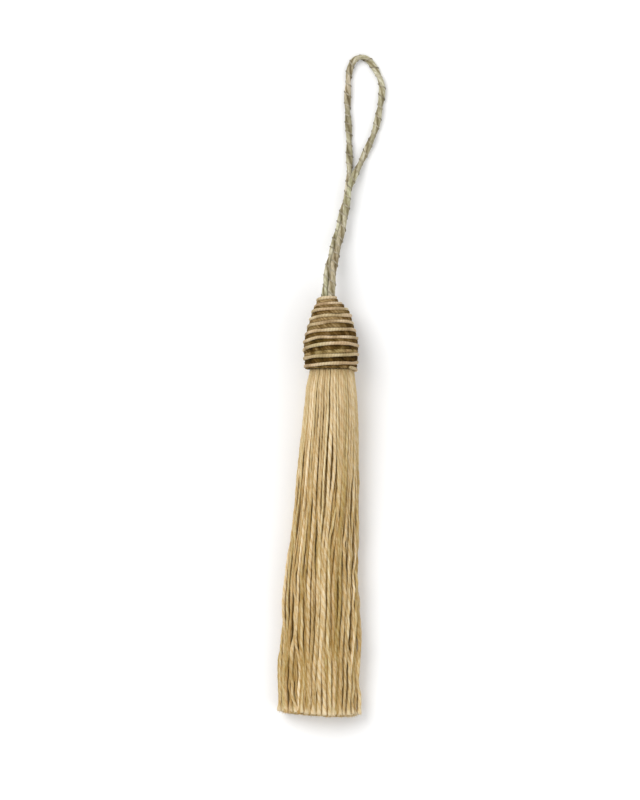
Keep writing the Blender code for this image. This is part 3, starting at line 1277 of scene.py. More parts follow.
@dataclass(frozen=True)
class YarnTone:
    """How light the skirt's yarns are, in tone, painted shade included, and how far they are lightened
    towards the light colour.

    Attributes:
        mean: tone of most yarns.
        spread: how much it differs from yarn to yarn.
        own: how it varies along one yarn.
        patches: how it varies over the skirt.
        neck_shade: how much darker the yarns are at the neck.
        neck_fade: drop at which that ends.
        painted_head_shadow: how much darker they are right under the head, as painted shadow of its rim.
        root_fade: drop at which that ends.
        hem_light: how much lighter they are at the hem.
        hem: shares of the length between which that comes in.
        painted_trough_shade: how much darker the yarns between two locks are, as painted shade in the
            troughs.
        open_reach: reach above which nothing lies over a yarn.
        painted_depth_shade: how fast the yarns darken below that, for a full reach, as painted shade of the
            yarns over them.
        painted_gap_shade: the same painted shade again, where the gaps between locks show.
        gap_end: shares of the length between which that stops short of the hem.
        bright: how much lighter the bright yarns are.
        bright_share: share of the yarns that are bright.
        painted_tip_shade: how much darker the cut ends of covered yarns are, as painted shade under the
            outer yarns.
        tip_groove_shade: how far their grooves take in the crests, deepening the painted groove shade
            there.
        tip_wear: wear of the cut ends that show.
        neck_lightening: how much lighter, towards the light colour, the yarns that show are at the neck.
        neck_lightening_fade: drop at which that ends.
        tint: mean hue.
        tint_spread: how much the hue differs from yarn to yarn.
    """

    mean: float = 0.53
    spread: float = 0.135
    own: Waver = Waver(0.2, 14)
    patches: float = 0.12
    neck_shade: float = 0.13
    neck_fade: float = 40.0
    painted_head_shadow: float = 0.36
    root_fade: float = 2.2
    hem_light: float = 0.1
    hem: Span = (4.9 / 6, 5.9 / 6)
    painted_trough_shade: float = 0.32
    open_reach: float = 0.94
    painted_depth_shade: float = 0.5
    painted_gap_shade: float = 1.6
    gap_end: Span = (0.8625, 0.9875)
    bright: float = 0.3
    bright_share: float = 0.11
    painted_tip_shade: float = 0.1
    tip_groove_shade: float = 0.3
    tip_wear: float = 0.5
    neck_lightening: float = 0.2
    neck_lightening_fade: float = 45.0
    tint: float = 0.5
    tint_spread: float = 0.22

    def draw(self, rng: np.random.Generator, course: YarnCourse, patches: SmoothField) -> np.ndarray:
        """Draw how light a yarn is, painted shade included.

        Args:
            rng: the skirt's random numbers.
            course: the yarn's course.
            patches: how the tone varies over the skirt.

        Returns:
            Its tone at each step, which may lie a little outside 0 to 1.
        """
        tone = self.mean - self.neck_shade * (1.0 - ease(course.drop, 0.0, self.neck_fade))
        tone = tone + self.spread * rng.normal() + self.patches * patches.read(course.place, course.along)
        tone = tone + self.own.draw(rng, course.along)
        # Painted shadow of the head's rim on the yarns' roots.
        tone = tone - self.painted_head_shadow * (1.0 - ease(course.drop, 0.0, self.root_fade))
        tone = tone + self.hem_light * ease(course.along, *self.hem)
        # Painted shade in the troughs between locks.
        tone = tone - self.painted_trough_shade * course.parted * course.between
        # Painted shade of the covered yarns, deeper where the gaps between locks show.
        painted_depth_shade = self.painted_depth_shade + self.painted_gap_shade * (1.0 - ease(course.along, *self.gap_end))
        tone = tone - painted_depth_shade * max(self.open_reach - course.reach, 0.0)
        if rng.uniform() < self.bright_share:
            tone = tone + self.bright
        return tone

    def wear(self, course: YarnCourse) -> np.ndarray:
        """How far an uncovered yarn is lightened towards the light colour at each step: frayed at its cut
        end, lighter at the neck.
        """
        near_neck = 1.0 - ease(course.drop, 0.0, self.neck_lightening_fade)
        return self.tip_wear * course.tip + self.neck_lightening * near_neck

    def draw_tint(self, rng: np.random.Generator) -> float:
        """Draw a yarn's hue."""
        return float(np.clip(rng.normal(self.tint, self.tint_spread), 0.0, 1.0))


@dataclass(frozen=True)
class FrayedEnd:
    """The loose filaments at a yarn's cut end, in millimetres.

    Attributes:
        filaments: filaments that spread from one yarn.
        radius: radius of a filament.
        taper: share of that radius at each of its points.
        sides: sides of its section.
        root: how far above the cut it leaves the yarn.
        offset: least and greatest distance from the yarn's middle, as a share of its radius.
        reach: least and greatest reach past the cut.
        spread: least and greatest distance that it bends outwards.
        tones: least and greatest tone.
        wear: how frayed it is.
        heading_steps: steps of the yarn that its heading is read over.
    """

    filaments: int = 7
    radius: float = 0.06
    taper: tuple[float, ...] = (1.0, 1.0, 0.95, 0.85, 0.5)
    sides: int = 3
    root: float = 1.2
    offset: Span = (0.5, 0.85)
    reach: Span = (0.05, 0.55)
    spread: Span = (0.05, 0.42)
    tones: Span = (0.35, 0.95)
    wear: float = 0.5
    heading_steps: int = 3

    def draw(self, rng: np.random.Generator, yarn: Strand) -> Strand:
        """Draw one filament.

        Args:
            rng: the skirt's random numbers.
            yarn: the yarn that it comes from.

        Returns:
            The filament.
        """
        heading = unit(yarn.path[-1] - yarn.path[-1 - self.heading_steps])
        angle = rng.uniform(0.0, TAU)
        out = np.array([np.cos(angle), 0.0, np.sin(angle)])
        start = yarn.path[-1] - self.root * heading + out * yarn.radius[-1] * rng.uniform(*self.offset)
        bend = np.linspace(0.0, 1.0, len(self.taper))[:, None]
        reach = self.root + rng.uniform(*self.reach)
        path = start + heading * reach * bend + out * rng.uniform(*self.spread) * bend**2
        keep_above(path, self.radius)
        return Strand(
            path=path,
            normals=np.array(TO_THE_RIGHT),
            radius=self.radius * np.array(self.taper),
            tone=rng.uniform(*self.tones),
            wear=self.wear,
            tint=yarn.tint,
        )


@dataclass
class Skirt:
    """The hank of silk yarns below the head, in rings from its outside to its middle.

    Attributes:
        outer_yarns: yarns that would fill a ring on the outline itself.
        first_depth: depth of the outermost ring at the neck.
        ring_depth: depth from each ring to the next.
        neck_radius: radius of the bound neck.
        spacing_jitter: how unevenly a ring's yarns are spaced, as a share of their spacing.
        root_drop: drop at which the yarns start, hidden in the head.
        loosening: shares of the length between which a yarn comes free of the neck.
        tip_length: length of the part that counts as a yarn's cut end.
        reach_limits: least and greatest reach of a yarn's middle.
        covered_reach: reach under which other yarns cover a yarn.
        pattern_room: how far along the fibre pattern a yarn may start.
        seed: seed of everything random in the skirt.
        hem: how its hem is cut.
        sway: how its yarns stray.
        locks: how they draw together.
        make: how they are spun.
        tone: how light they are, painted shade included.
        frayed: how their cut ends fray.
    """

    outer_yarns: int = 58
    first_depth: float = 0.44
    ring_depth: float = 0.54
    neck_radius: float = 6.65
    spacing_jitter: float = 0.16
    root_drop: float = -0.9
    loosening: Span = (0.0, 1 / 2.4)
    tip_length: float = 2.2
    reach_limits: Span = (0.02, 1.03)
    covered_reach: float = 0.9
    pattern_room: float = 90.0
    seed: int = 14
    hem: HemCut = HemCut()
    sway: YarnSway = YarnSway()
    locks: LockPull = LockPull()
    make: YarnMake = YarnMake()
    tone: YarnTone = YarnTone()
    frayed: FrayedEnd = FrayedEnd()

    def __post_init__(self) -> None:
        """Set up the outline and the noise that all yarns share."""
        self.rng = np.random.default_rng(self.seed)
        self.shape = SkirtShape()
        self.sway_field = SmoothField(self.rng, round_cells=13, along_cells=4)
        self.relief_field = SmoothField(self.rng, round_cells=17, along_cells=5)
        self.drift_field = SmoothField(self.rng, round_cells=10, along_cells=7)
        self.grip_field = SmoothField(self.rng, round_cells=14, along_cells=8)
        self.tone_field = SmoothField(self.rng, round_cells=19, along_cells=3)

    def rings(self) -> list[tuple[int, float]]:
        """Share the skirt out into rings.

        Returns:
            The number of yarns and the reach of each ring, from the outside in.
        """
        found = []
        depth = self.first_depth
        while depth < self.neck_radius:
            reach = 1.0 - depth / self.neck_radius
            found.append((max(round(self.outer_yarns * reach), 1), reach))
            depth += self.ring_depth
        return found

    def course(self, around: float, reach: float, step: float) -> YarnCourse:
        """Hang one yarn and draw it into its lock.

        Args:
            around: its share of the way round the skirt.
            reach: its share of the way out from the skirt's middle.
            step: length of a step along it.

        Returns:
            The yarn's course.
        """
        length = self.hem.draw_length(self.rng, around, reach)
        drop = np.linspace(self.root_drop, length, int((length - self.root_drop) / step))
        along = np.clip(drop / SKIRT_LENGTH, 0.0, 1.0)
        loose = ease(along, *self.loosening)
        tip = ease(drop - length, -self.tip_length, 0.0)
        shared = self.sway_field.read(np.full_like(along, around), along)
        sway, lift = self.sway.draw(self.rng, along, shared)
        place = around + sway * loose / self.shape.girth_at(drop)
        course = YarnCourse(reach, drop, along, loose, tip, place, lift)
        self.locks.gather(course, self.drift_field.read(place, along), self.grip_field)
        return course

    def path(self, course: YarnCourse) -> np.ndarray:
        """Lay a yarn on its course, in and out of its ring.

        Args:
            course: the yarn's course.

        Returns:
            Its centre points.
        """
        relief = self.relief_field.read(course.place, course.along)
        bulge = self.locks.relief * relief - self.locks.trough * course.between
        depth = (bulge + course.lift) * course.loose + self.sway.draw_depth(self.rng, course)
        reach = np.clip(course.reach + depth / self.neck_radius, *self.reach_limits)
        return self.shape.place(course.drop, course.place, reach)

    def yarn(self, around: float, reach: float, detail: Detail) -> Strand:
        """Make one yarn from the neck to the hem.

        Args:
            around: its share of the way round the skirt.
            reach: its share of the way out from the skirt's middle.
            detail: how finely it is swept.

        Returns:
            The yarn.
        """
        sides, step = detail.value
        course = self.course(around, reach, step)
        path = self.path(course)
        radius = self.make.draw_radius(self.rng, course)
        keep_above(path, radius * self.make.floor_room)
        twist = self.make.draw_twist(self.rng, path)
        groove = self.make.groove(sides)
        if detail is Detail.PLAIN:
            groove = np.zeros(sides)
            twist = 0.0
        tone = self.tone.draw(self.rng, course, self.tone_field)
        # Painted shade in the groove between the plies, through the crest mark.
        crest = (1.0 - groove)[None, :]
        covered = reach < self.covered_reach
        # Painted shade at the cut ends of covered yarns, which lie under the outer ones.
        if covered:
            tone = tone - self.tone.painted_tip_shade * course.tip
            crest = crest * (1.0 - self.tone.tip_groove_shade * course.tip)[:, None]
        return Strand(
            path=path,
            normals=np.array(TO_THE_RIGHT),
            radius=radius,
            relief=(1.0 - self.make.ply_groove * groove)[None, :],
            twist=twist,
            tone=np.clip(tone, 0.0, 1.0),
            crest=crest,
            wear=0.0 if covered else self.tone.wear(course),
            tint=self.tone.draw_tint(self.rng),
        )

    def build(self) -> list[bpy.types.Object]:
        """Lay every ring of yarns and dress them.

        Returns:
            The skirt's pieces.
        """
        material = SILK_FINISH.build()
        pieces = []
        inner = StrandMesh("skirt_inner_yarns")
        frayed = StrandMesh("skirt_frayed_ends")
        names = ("skirt_outer_yarns", "skirt_second_yarns", "skirt_third_yarns")
        for index, (count, reach) in enumerate(self.rings()):
            fine = index < len(names)
            detail = Detail.FINE if fine else Detail.PLAIN
            mesh = StrandMesh(names[index]) if fine else inner
            for place in range(count):
                jitter = self.rng.uniform(-self.spacing_jitter, self.spacing_jitter)
                yarn = self.yarn((place + 0.5 * (index % 2) + jitter) / count, reach, detail)
                mesh.add(yarn, detail.value[0], self.rng.uniform(0.0, self.pattern_room))
                for _ in range(self.frayed.filaments if fine else 0):
                    frayed.add(self.frayed.draw(self.rng, yarn), self.frayed.sides)
            if fine:
                pieces.append(mesh.build(material))
        pieces += [inner.build(material), frayed.build(material)]
        for piece in pieces:
            dress(piece, Slot.SILK, "skirt")
        return pieces


# ---------------------------------------------------------------------------------------------------------
# Head
# ---------------------------------------------------------------------------------------------------------


@dataclass
class HeadShape:
    """The bell shape that the head's cords are wound to, and the spiral that the gimp follows.

    Attributes:
        gimp_radius: half the gimp's thickness.
        first_turn: where the gimp starts.
        last_turn: where it ends.
        slope_probe: distance up and down the head over which its slope is read.
    """

    gimp_radius: float = 0.45
    first_turn: float = GIMP_PASSES[0].turn
    last_turn: float = GIMP_PASSES[-1].turn
    slope_probe: float = 0.5

    def radius(self, height: np.ndarray) -> np.ndarray:
        """Outer radius at a height above the foot."""
        return read_smooth(HEAD_SECTIONS, "radius", height)

    def steepness(self, height: np.ndarray) -> np.ndarray:
        """Length along the slope for each millimetre of height."""
        rise = self.radius(height + self.slope_probe) - self.radius(height - self.slope_probe)
        return np.hypot(1.0, rise / (2 * self.slope_probe))

    def angle(self, turn: np.ndarray) -> np.ndarray:
        """Angle round the head's axis at a turn; whole turns are at the front."""
        return TAU * turn + np.pi / 2

    def outward(self, angle: np.ndarray) -> np.ndarray:
        """Direction straight out from the axis."""
        return np.stack([np.cos(angle), np.zeros_like(angle), np.sin(angle)], axis=-1)

    def gimp_height(self, turn: np.ndarray) -> np.ndarray:
        """Height of the gimp's centre line at a turn."""
        sag = read_straight(GIMP_PASSES, "tilt", turn) * (1.0 - np.sin(self.angle(turn)))
        return read_straight(GIMP_PASSES, "height", turn) - sag

    def place(self, angle: np.ndarray, height: np.ndarray, depth: float) -> np.ndarray:
        """Place points under the head's outer surface.

        Args:
            angle: angle round the axis, from +X towards +Z.
            height: height above the foot.
            depth: depth under the surface, square to its slope.

        Returns:
            The points in millimetres.
        """
        radius = self.radius(height) - depth * self.steepness(height)
        x = HEAD_X + read_smooth(HEAD_SECTIONS, "shift", height) + radius * np.cos(angle)
        return np.stack([x, HEAD_FOOT_Y + height, HEAD_AXIS_Z + radius * np.sin(angle)], axis=-1)


@dataclass
class Gimp:
    """The light thread-wrapped gimp that runs spirally over the head.

    Attributes:
        shape: the head that it is laid on.
        step: length of a step along it.
        sides: sides of its section.
        thickening: how much thicker it is than the frame's.
        thickness: how its thickness varies along it.
        tail_steps: steps over which its end narrows.
        tail_narrowing: share of its thickness lost there.
        wobble: how it wavers up and down the head.
        wrap_pitch: distance from one thread of the wrapping to the next.
        wrap_relief: depth of the grooves between them, as a share of the radius.
        wrap_slip: how unevenly they lie.
        groove_crest: crest in the bottom of those grooves, which sets how much painted shade they get.
        tone: how its tone varies.
        tint: how its hue varies.
        seed: seed of its unevenness.
    """

    shape: HeadShape
    step: float = 0.14
    sides: int = 8
    thickening: float = 0.1
    thickness: Waver = Waver(0.14, 150)
    tail_steps: int = 6
    tail_narrowing: float = 0.5
    wobble: Waver = Waver(0.17, 90)
    wrap_pitch: float = 0.9
    wrap_relief: float = 0.085
    wrap_slip: Waver = Waver(1.6, 130)
    groove_crest: float = 0.35
    tone: Waver = Waver(0.32, 190)
    tint: Waver = Waver(0.4, 60)
    seed: int = 5

    def centre(self, turn: np.ndarray) -> np.ndarray:
        """Centre line of the gimp."""
        height = self.shape.gimp_height(turn)
        return self.shape.place(self.shape.angle(turn), height, self.shape.gimp_radius)

    def wind(self) -> Strand:
        """Wind the gimp over the head.

        Returns:
            The gimp.
        """
        rng = np.random.default_rng(self.seed)
        turn = even_turns(self.centre, (self.shape.first_turn, self.shape.last_turn), self.step)
        along = np.linspace(0.0, 1.0, len(turn))
        path = self.centre(turn)
        path[:, 1] += self.wobble.draw(rng, along)
        slip = self.wrap_slip.draw(rng, along)[:, None]
        wave = TAU * distance_along(path)[:, None] / self.wrap_pitch + slip + side_angles(self.sides)
        ridge = 0.5 + 0.5 * np.cos(wave)
        thick = 1.0 + self.thickness.draw(rng, along)
        steps_left = len(turn) - 1 - np.arange(len(turn))
        thick = thick * (1.0 - self.tail_narrowing * (1.0 - ease(steps_left, 0.0, self.tail_steps)))
        radius = (self.shape.gimp_radius + self.thickening) * thick
        keep_above(path, radius)
        return Strand(
            path=path,
            normals=self.shape.outward(self.shape.angle(turn)),
            radius=radius,
            relief=1.0 - self.wrap_relief * (1.0 - ridge),
            tone=0.5 + self.tone.draw(rng, along),
            # Painted shade in the grooves between the wrapping's threads.
            crest=self.groove_crest + (1.0 - self.groove_crest) * ridge,
            tint=0.5 + self.tint.draw(rng, along),
        )

    def build(self) -> list[bpy.types.Object]:
        """Wind the gimp and dress it.

        Returns:
            The gimp's one piece.
        """
        mesh = StrandMesh("gimp_winding")
        mesh.add(self.wind(), self.sides)
        item = mesh.build(GIMP_FINISH.build())
        dress(item, Slot.GIMP, "gimp")
        return [item]


class CordRun(NamedTuple):
    """A run of dark cord along the band between the gimp's turns.

    It goes from one turn to another and lies between two shares of the band's width, from its top. The
    tones are the cord's at the head's foot and at its top.
    """

    turns: Span
    band: Span
    tones: Span
    seed: int


@dataclass
class HeadWinding:
    """The dark twisted cords wound between the gimp's turns, over a dark core.

    Attributes:
        shape: the head that they make.
        foot: height of the lowest cord's underside.
        least_band: least width of the band between the gimp's turns.
        tuck: how far a cord reaches under its neighbours.
        cord_depth: depth of the cords' centre lines under the head's surface.
        cord_thickness: half the cords' thickness.
        least_width: least half of a cord's width.
        floor_room: least height of a cord's middle above the surface, in half thicknesses.
        step: length of a step along a cord.
        sides: sides of its section.
        lay: length of a full twist of its plies.
        slack: how unevenly it is twisted.
        plies: how many plies it has.
        ply_relief: depth of the grooves between them, as a share of its radius.
        under_gimp_shade: how much darker the side towards the head's top is, as painted shade under the
            gimp.
        tone_heights: heights where the tone is read: twice near the foot, then for the run's tones.
        foot_light: how much lighter the lowest cord is.
        tone: how the tone varies.
        tint: how the hue varies.
        wide_band: turns between which two cords fill the band.
        overlap: how far, in turns, those two run on at each end.
        last_turn: where the lowest cord ends.
        dark_tones: tones of most runs.
        light_tones: tones of the light cord in the wide band.
        core_depth: depth of the core under the head's surface.
        core_top: height of the core's top.
        core_columns: points round the core.
        core_rows: rings of the core.
        core_floor: least height of the core above the surface.
        core_marks: tone, crest, wear and tint of the core; its tone and crest lie below the cords', as
            painted shade in the gaps between them.
    """

    shape: HeadShape
    foot: float = 0.28
    least_band: float = 0.25
    tuck: float = 0.1
    cord_depth: float = 0.72
    cord_thickness: float = 0.46
    least_width: float = 0.1
    floor_room: float = 0.9
    step: float = 0.22
    sides: int = 12
    lay: float = 3.4
    slack: Waver = Waver(1.1, 110)
    plies: int = 3
    ply_relief: float = 0.13
    under_gimp_shade: float = 0.16
    tone_heights: tuple[float, ...] = (0.8, 1.6, 4.0, 19.0)
    foot_light: float = 0.2
    tone: Waver = Waver(0.22, 60)
    tint: Waver = Waver(0.4, 30)
    wide_band: Span = (6.62, 7.72)
    overlap: float = 0.04
    last_turn: float = 9.42
    dark_tones: Span = (0.30, 0.76)
    light_tones: Span = (0.80, 0.80)
    core_depth: float = 0.95
    core_top: float = 21.6
    core_columns: int = 48
    core_rows: int = 40
    core_floor: float = 0.3
    core_marks: tuple[float, ...] = (0.1, 0.2, 0.0, 0.5)

    def band(self, turn: np.ndarray) -> tuple[np.ndarray, np.ndarray]:
        """Measure the band between the gimp's turns.

        Args:
            turn: where to measure it.

        Returns:
            The heights of its top and bottom.
        """
        top = self.shape.gimp_height(turn) - self.shape.gimp_radius
        below = self.shape.gimp_height(turn + 1.0) + self.shape.gimp_radius
        bottom = np.where(turn + 1.0 <= self.shape.last_turn, below, self.foot)
        return top, np.minimum(bottom, top - self.least_band)

    def centre(self, turn: np.ndarray, run: CordRun) -> tuple[np.ndarray, np.ndarray]:
        """Lay the centre line of a cord.

        Args:
            turn: the turns of its points.
            run: the cord's run.

        Returns:
            Its points, and their heights above the head's foot.
        """
        top, bottom = self.band(turn)
        height = top + (bottom - top) * sum(run.band) / 2
        return self.shape.place(self.shape.angle(turn), height, self.cord_depth), height

    def cord(self, run: CordRun) -> Strand:
        """Wind one dark cord.

        Args:
            run: the cord's run.

        Returns:
            The cord.
        """
        rng = np.random.default_rng(run.seed)
        turn = even_turns(lambda rough: self.centre(rough, run)[0], run.turns, self.step)
        along = np.linspace(0.0, 1.0, len(turn))
        path, height = self.centre(turn, run)
        keep_above(path, self.cord_thickness * self.floor_room)
        top, bottom = self.band(turn)
        half = (top - bottom) * (run.band[1] - run.band[0]) / 2 + self.tuck
        width = np.maximum(half * self.shape.steepness(height), self.least_width)
        # The ply grooves shape the cord and, through the crest, also get painted shade.
        groove = 0.5 - 0.5 * np.cos(self.plies * side_angles(self.sides))
        twist = TAU * distance_along(path) / self.lay + self.slack.draw(rng, along)
        tones = (run.tones[0] + self.foot_light, run.tones[0], *run.tones)
        tone = np.interp(height, self.tone_heights, tones) + self.tone.draw(rng, along)
        # Painted shade on the side of the cord that lies under the gimp.
        tone = tone[:, None] - self.under_gimp_shade * np.sin(side_angles(self.sides) + twist[:, None])
        return Strand(
            path=path,
            normals=self.shape.outward(self.shape.angle(turn)),
            radius=width,
            relief=(1.0 - self.ply_relief * groove)[None, :],
            twist=twist,
            flatness=self.cord_thickness / width,
            tone=np.clip(tone, 0.0, 1.0),
            crest=(1.0 - groove)[None, :],
            tint=0.5 + self.tint.draw(rng, along),
        )

    def runs(self) -> list[CordRun]:
        """Share the band out among the cords.

        Returns:
            The cords' runs, from the head's top down.
        """
        wide_from, wide_to = self.wide_band
        wide = (wide_from - self.overlap, wide_to + self.overlap)
        return [
            CordRun((self.shape.first_turn, wide_from), (0.0, 1.0), self.dark_tones, seed=11),
            CordRun(wide, (0.0, 0.5), self.dark_tones, seed=11),
            CordRun(wide, (0.5, 0.96), self.light_tones, seed=16),
            CordRun((wide_to, self.last_turn), (0.0, 1.0), self.dark_tones, seed=11),
        ]

    def core(self) -> StrandMesh:
        """Turn the dark core that shows between the cords, darkened further as their painted shade.

        Returns:
            The core's mesh.
        """
        heights = np.linspace(self.foot, self.core_top, self.core_rows)
        height, angle = np.meshgrid(heights, side_angles(self.core_columns), indexing="ij")
        points = self.shape.place(angle, height, self.core_depth)
        keep_above(points, self.core_floor)
        # Painted shade: the core's low tone and crest darken the gaps between the cords.
        marks = np.broadcast_to(np.array(self.core_marks), (*points.shape[:2], len(self.core_marks)))
        mesh = StrandMesh("head_core")
        mesh.add_tube(points, points, marks, clockwise=True)
        return mesh

    def build(self) -> list[bpy.types.Object]:
        """Wind the cords over the core and dress them.

        Returns:
            The winding's pieces.
        """
        material = DARK_FINISH.build()
        cords = StrandMesh("head_cords")
        for run in self.runs():
            cords.add(self.cord(run), self.sides)
        pieces = [self.core().build(material), cords.build(material)]
        for piece in pieces:
            dress(piece, Slot.DARK, "head_wrap")
        return pieces


# ---------------------------------------------------------------------------------------------------------
# Hanging loop
# ---------------------------------------------------------------------------------------------------------


@dataclass
class HangingLoop:
    """The doubled two-ply cord of the loop, with a thin dark thread wound round it.

    Attributes:
        step: length of a step along the cord.
        sides: sides of its section.
        tuck: how far its ends go into the head's top.
        swelling: how much thicker it is where it enters the head, as a share of its radius.
        swelling_length: how far from the head that fades out.
        slubs: thick and thin stretches, as a share of its radius.
        ply_groove: depth of the groove between its plies, as a share of its radius.
        groove_sharpness: how narrow that groove is.
        groove_shade_sharpness: how narrow the line of painted shade in it is.
        tone: how the cord's tone varies.
        tint: how its hue varies.
        declared_steps: not used.
        thread_radius: radius of the thread.
        thread_sides: sides of its section.
        thread_pitch: distance along the cord from one wrap to the next.
        thread_uneven: how unevenly it is wound.
        thread_step: length of a step along the cord, for the thread.
        thread_tone: tone of the thread at the cord's sides, where no painted light is added.
        thread_top_light: how much lighter it is on top, as painted light where it faces up.
        seed: seed of all unevenness in the loop.
    """

    step: float = 0.3
    sides: int = 16
    tuck: float = 0.9
    swelling: float = 0.1
    swelling_length: float = 30.0
    slubs: Waver = Waver(0.04, 60)
    ply_groove: float = 0.34
    groove_sharpness: int = 4
    groove_shade_sharpness: int = 8
    tone: Waver = Waver(0.2, 40)
    tint: Waver = Waver(0.5, 14)
    declared_steps: int = 4
    thread_radius: float = 0.21
    thread_sides: int = 6
    thread_pitch: float = 3.0
    thread_uneven: Waver = Waver(1.3, 24)
    thread_step: float = 0.16
    thread_tone: float = 0.3
    thread_top_light: float = 0.42
    seed: int = 3

    def route(self) -> np.ndarray:
        """Tuck the ends of the cord's route into the head's top.

        Returns:
            The route's points.
        """
        points = np.array(LOOP_ROUTE)
        inward = np.array([0.0, -self.tuck, 0.0])
        return np.vstack([points[0] + inward, points, points[-1] + inward])

    def radius_at(self, distance: np.ndarray, length: float) -> np.ndarray:
        """Radius of the cord over its two plies."""
        near_head = 1.0 - ease(np.minimum(distance, length - distance), 0.0, self.swelling_length)
        return CORD_DIAMETER / 2 * (1.0 + self.swelling * near_head)

    def groove_at(self, angle: np.ndarray) -> np.ndarray:
        """Share of the cord's radius at an angle from the line through its two plies."""
        return 1.0 - self.ply_groove * np.sin(angle) ** self.groove_sharpness

    def cord(self, path: np.ndarray, normals: np.ndarray) -> Strand:
        """Twist the cord's two plies.

        Args:
            path: the cord's centre line.
            normals: its sideways directions.

        Returns:
            The cord.
        """
        rng = np.random.default_rng(self.seed)
        distance = distance_along(path)
        along = distance / distance[-1]
        angle = side_angles(self.sides)
        return Strand(
            path=path,
            normals=normals,
            radius=self.radius_at(distance, distance[-1]) * (1.0 + self.slubs.draw(rng, along)),
            relief=self.groove_at(angle)[None, :],
            twist=-TAU * distance / CORD_LAY,
            tone=0.5 + self.tone.draw(rng, along),
            # Painted shade: a narrow dark line in the groove between the two plies.
            crest=(1.0 - np.sin(angle) ** self.groove_shade_sharpness)[None, :],
            tint=0.5 + self.tint.draw(rng, along),
        )

    def thread(self, path: np.ndarray, normals: np.ndarray) -> Strand:
        """Wind the dark thread round the cord.

        Args:
            path: the cord's centre line.
            normals: its sideways directions.

        Returns:
            The thread.
        """
        distance = distance_along(path)
        wanted = np.arange(0.0, distance[-1], self.thread_step)
        centre = read_path(path, distance, wanted)
        normal, across = square_to(centre, read_path(normals, distance, wanted))
        uneven = self.thread_uneven.draw(np.random.default_rng(self.seed), wanted / wanted[-1])
        turn = -TAU * wanted / self.thread_pitch + uneven
        radius = self.radius_at(wanted, distance[-1]) * self.groove_at(turn + TAU * wanted / CORD_LAY)
        out = np.cos(turn)[:, None] * normal + np.sin(turn)[:, None] * across
        route = centre + out * radius[:, None]
        keep_above(route, self.thread_radius)
        return Strand(
            path=route,
            normals=out,
            radius=np.full(len(route), self.thread_radius),
            # Painted light: the thread is lighter where it faces up.
            tone=self.thread_tone + self.thread_top_light * np.clip(out[:, 2], 0.0, 1.0) ** 2,
        )

    def declare(self, path: np.ndarray) -> None:
        """Args:
            path: the cord's centre line.
        """
        length = distance_along(path)[-1]
        LOG.info("loop: %.1f mm of cord", length)

    def build(self) -> list[bpy.types.Object]:
        """Returns:
            The loop's pieces.
        """
        path = curve_through(self.route(), self.step)
        normals = carried_normals(path, np.array(TO_THE_RIGHT))
        cord_mesh = StrandMesh("loop_cord")
        cord_mesh.add(self.cord(path, normals), self.sides)
        cord = cord_mesh.build(LOOP_FINISH.build())
        thread_mesh = StrandMesh("loop_thread")
        thread_mesh.add(self.thread(path, normals), self.thread_sides)
        thread = thread_mesh.build(THREAD_FINISH.build())
        dress(cord, Slot.LOOP, "hanging_loop")
        dress(thread, Slot.DARK)
        self.declare(path)
        return [cord, thread]


# ---------------------------------------------------------------------------------------------------------
# Surface, light and camera
# ---------------------------------------------------------------------------------------------------------


class SoftLight(NamedTuple):
    """A broad soft light: its name, the side that it shines from, and its strength.

    The strength is the light on a surface that faces it, in watts for each square metre.
    """

    name: str
    side: Point
    strength: float


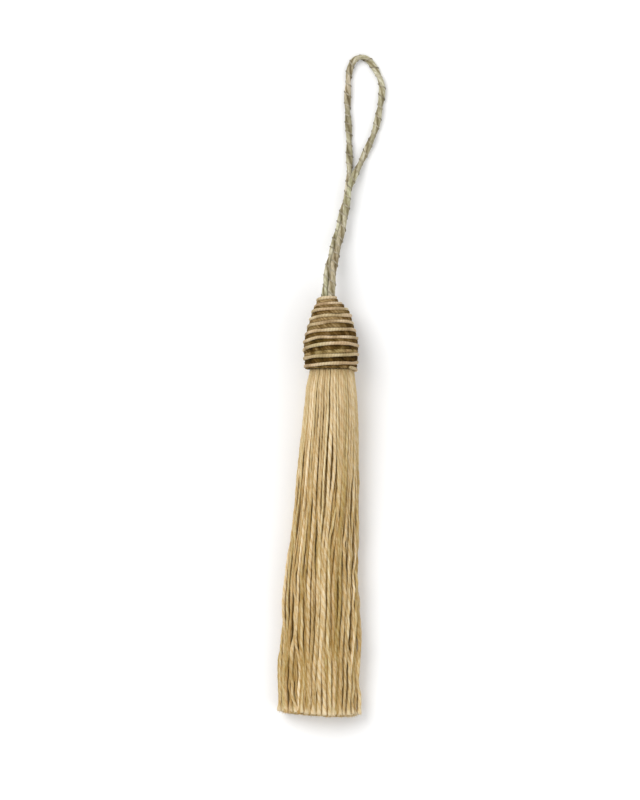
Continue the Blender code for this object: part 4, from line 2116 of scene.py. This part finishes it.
@dataclass
class Studio:
    """A pale surface, soft light and the camera straight above.

    Attributes:
        floor_size: width of the surface, in metres.
        floor_colour: its colour.
        floor_roughness: its roughness.
        floor_specular: strength of its gloss.
        sky_colour: colour of the light from all round.
        sky_strength: its strength.
        lights: the soft lights, as even as a large distant window's.
        light_spread: how broad each of them looks from the tassel.
        view_centre: the point under the camera.
        view_height: height of the view at the tassel's middle.
        middle_height: height of the tassel's middle above the surface.
        lens: focal length.
        sensor: height of the sensor.
        clip: nearest and farthest distance that the camera sees, in metres.
    """

    floor_size: float = 20.0
    floor_colour: Colour = (0.90, 0.90, 0.90)
    floor_roughness: float = 0.9
    floor_specular: float = 0.1
    sky_colour: Colour = (1.0, 1.0, 1.0)
    sky_strength: float = 0.8
    lights: tuple[SoftLight, ...] = (
        SoftLight("key_light", side=(-0.42, 0.38, 0.66), strength=1.6),
        SoftLight("fill_light", side=(0.55, -0.30, 0.55), strength=0.42),
    )
    light_spread: float = 0.66
    view_centre: tuple[float, float] = (0.3, 31.95)
    view_height: float = 240.0
    middle_height: float = 8.0
    lens: float = 240.0
    sensor: float = 36.0
    clip: Span = (0.01, 20.0)

    def build(self) -> None:
        """Set everything up."""
        self.lay_floor()
        self.light_sky()
        for light in self.lights:
            self.hang_light(light)
        self.set_camera()
        bpy.context.scene.view_settings.view_transform = "Standard"

    def lay_floor(self) -> None:
        """Lay the pale surface."""
        half = self.floor_size / 2
        corners = [(-half, -half, 0.0), (half, -half, 0.0), (half, half, 0.0), (-half, half, 0.0)]
        mesh = bpy.data.meshes.new("pale_surface")
        mesh.from_pydata(corners, [], [(0, 1, 2, 3)])
        material = bpy.data.materials.new("pale_surface")
        material.use_nodes = True
        shader = material.node_tree.nodes["Principled BSDF"]
        shader.inputs["Base Color"].default_value = opaque(self.floor_colour)
        shader.inputs["Roughness"].default_value = self.floor_roughness
        shader.inputs["Specular IOR Level"].default_value = self.floor_specular
        mesh.materials.append(material)
        item = bpy.data.objects.new("pale_surface", mesh)
        bpy.context.scene.collection.objects.link(item)

    def light_sky(self) -> None:
        """Light everything softly from all round."""
        world = bpy.data.worlds.new("soft_sky")
        world.use_nodes = True
        background = world.node_tree.nodes["Background"]
        background.inputs["Color"].default_value = opaque(self.sky_colour)
        background.inputs["Strength"].default_value = self.sky_strength
        bpy.context.scene.world = world

    def hang_light(self, light: SoftLight) -> None:
        """Hang one soft light, with its lamp's own -Z turned towards the tassel.

        Args:
            light: the light.
        """
        lamp = bpy.data.lights.new(light.name, "SUN")
        lamp.angle = self.light_spread
        lamp.energy = light.strength
        item = bpy.data.objects.new(light.name, lamp)
        bpy.context.scene.collection.objects.link(item)
        item.location = light.side
        x, y, z = light.side
        item.rotation_euler = (np.arctan2(np.hypot(x, y), z), 0.0, np.arctan2(x, -y))

    def set_camera(self) -> None:
        """Set the camera straight above, framed as tall as the view."""
        camera = bpy.data.cameras.new("camera")
        camera.lens = self.lens
        camera.sensor_fit = "VERTICAL"
        camera.sensor_height = self.sensor
        camera.clip_start, camera.clip_end = self.clip
        item = bpy.data.objects.new("camera", camera)
        bpy.context.scene.collection.objects.link(item)
        x, y = self.view_centre
        z = self.view_height * self.lens / self.sensor + self.middle_height
        item.location = (x * MM, y * MM, z * MM)
        bpy.context.scene.camera = item


def main() -> None:
    """Build and dress the tassel on its surface."""
    logging.basicConfig(level=logging.INFO, format="%(name)s: %(message)s")
    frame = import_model()
    LOG.info("frame: %d nodes", len(frame["nodes"]))
    Studio().build()
    shape = HeadShape()
    for section in (HangingLoop(), HeadWinding(shape), Gimp(shape), Skirt()):
        for piece in section.build():
            LOG.info("%s: %d faces", piece.name, len(piece.data.polygons))


if __name__ == "__main__":
    main()
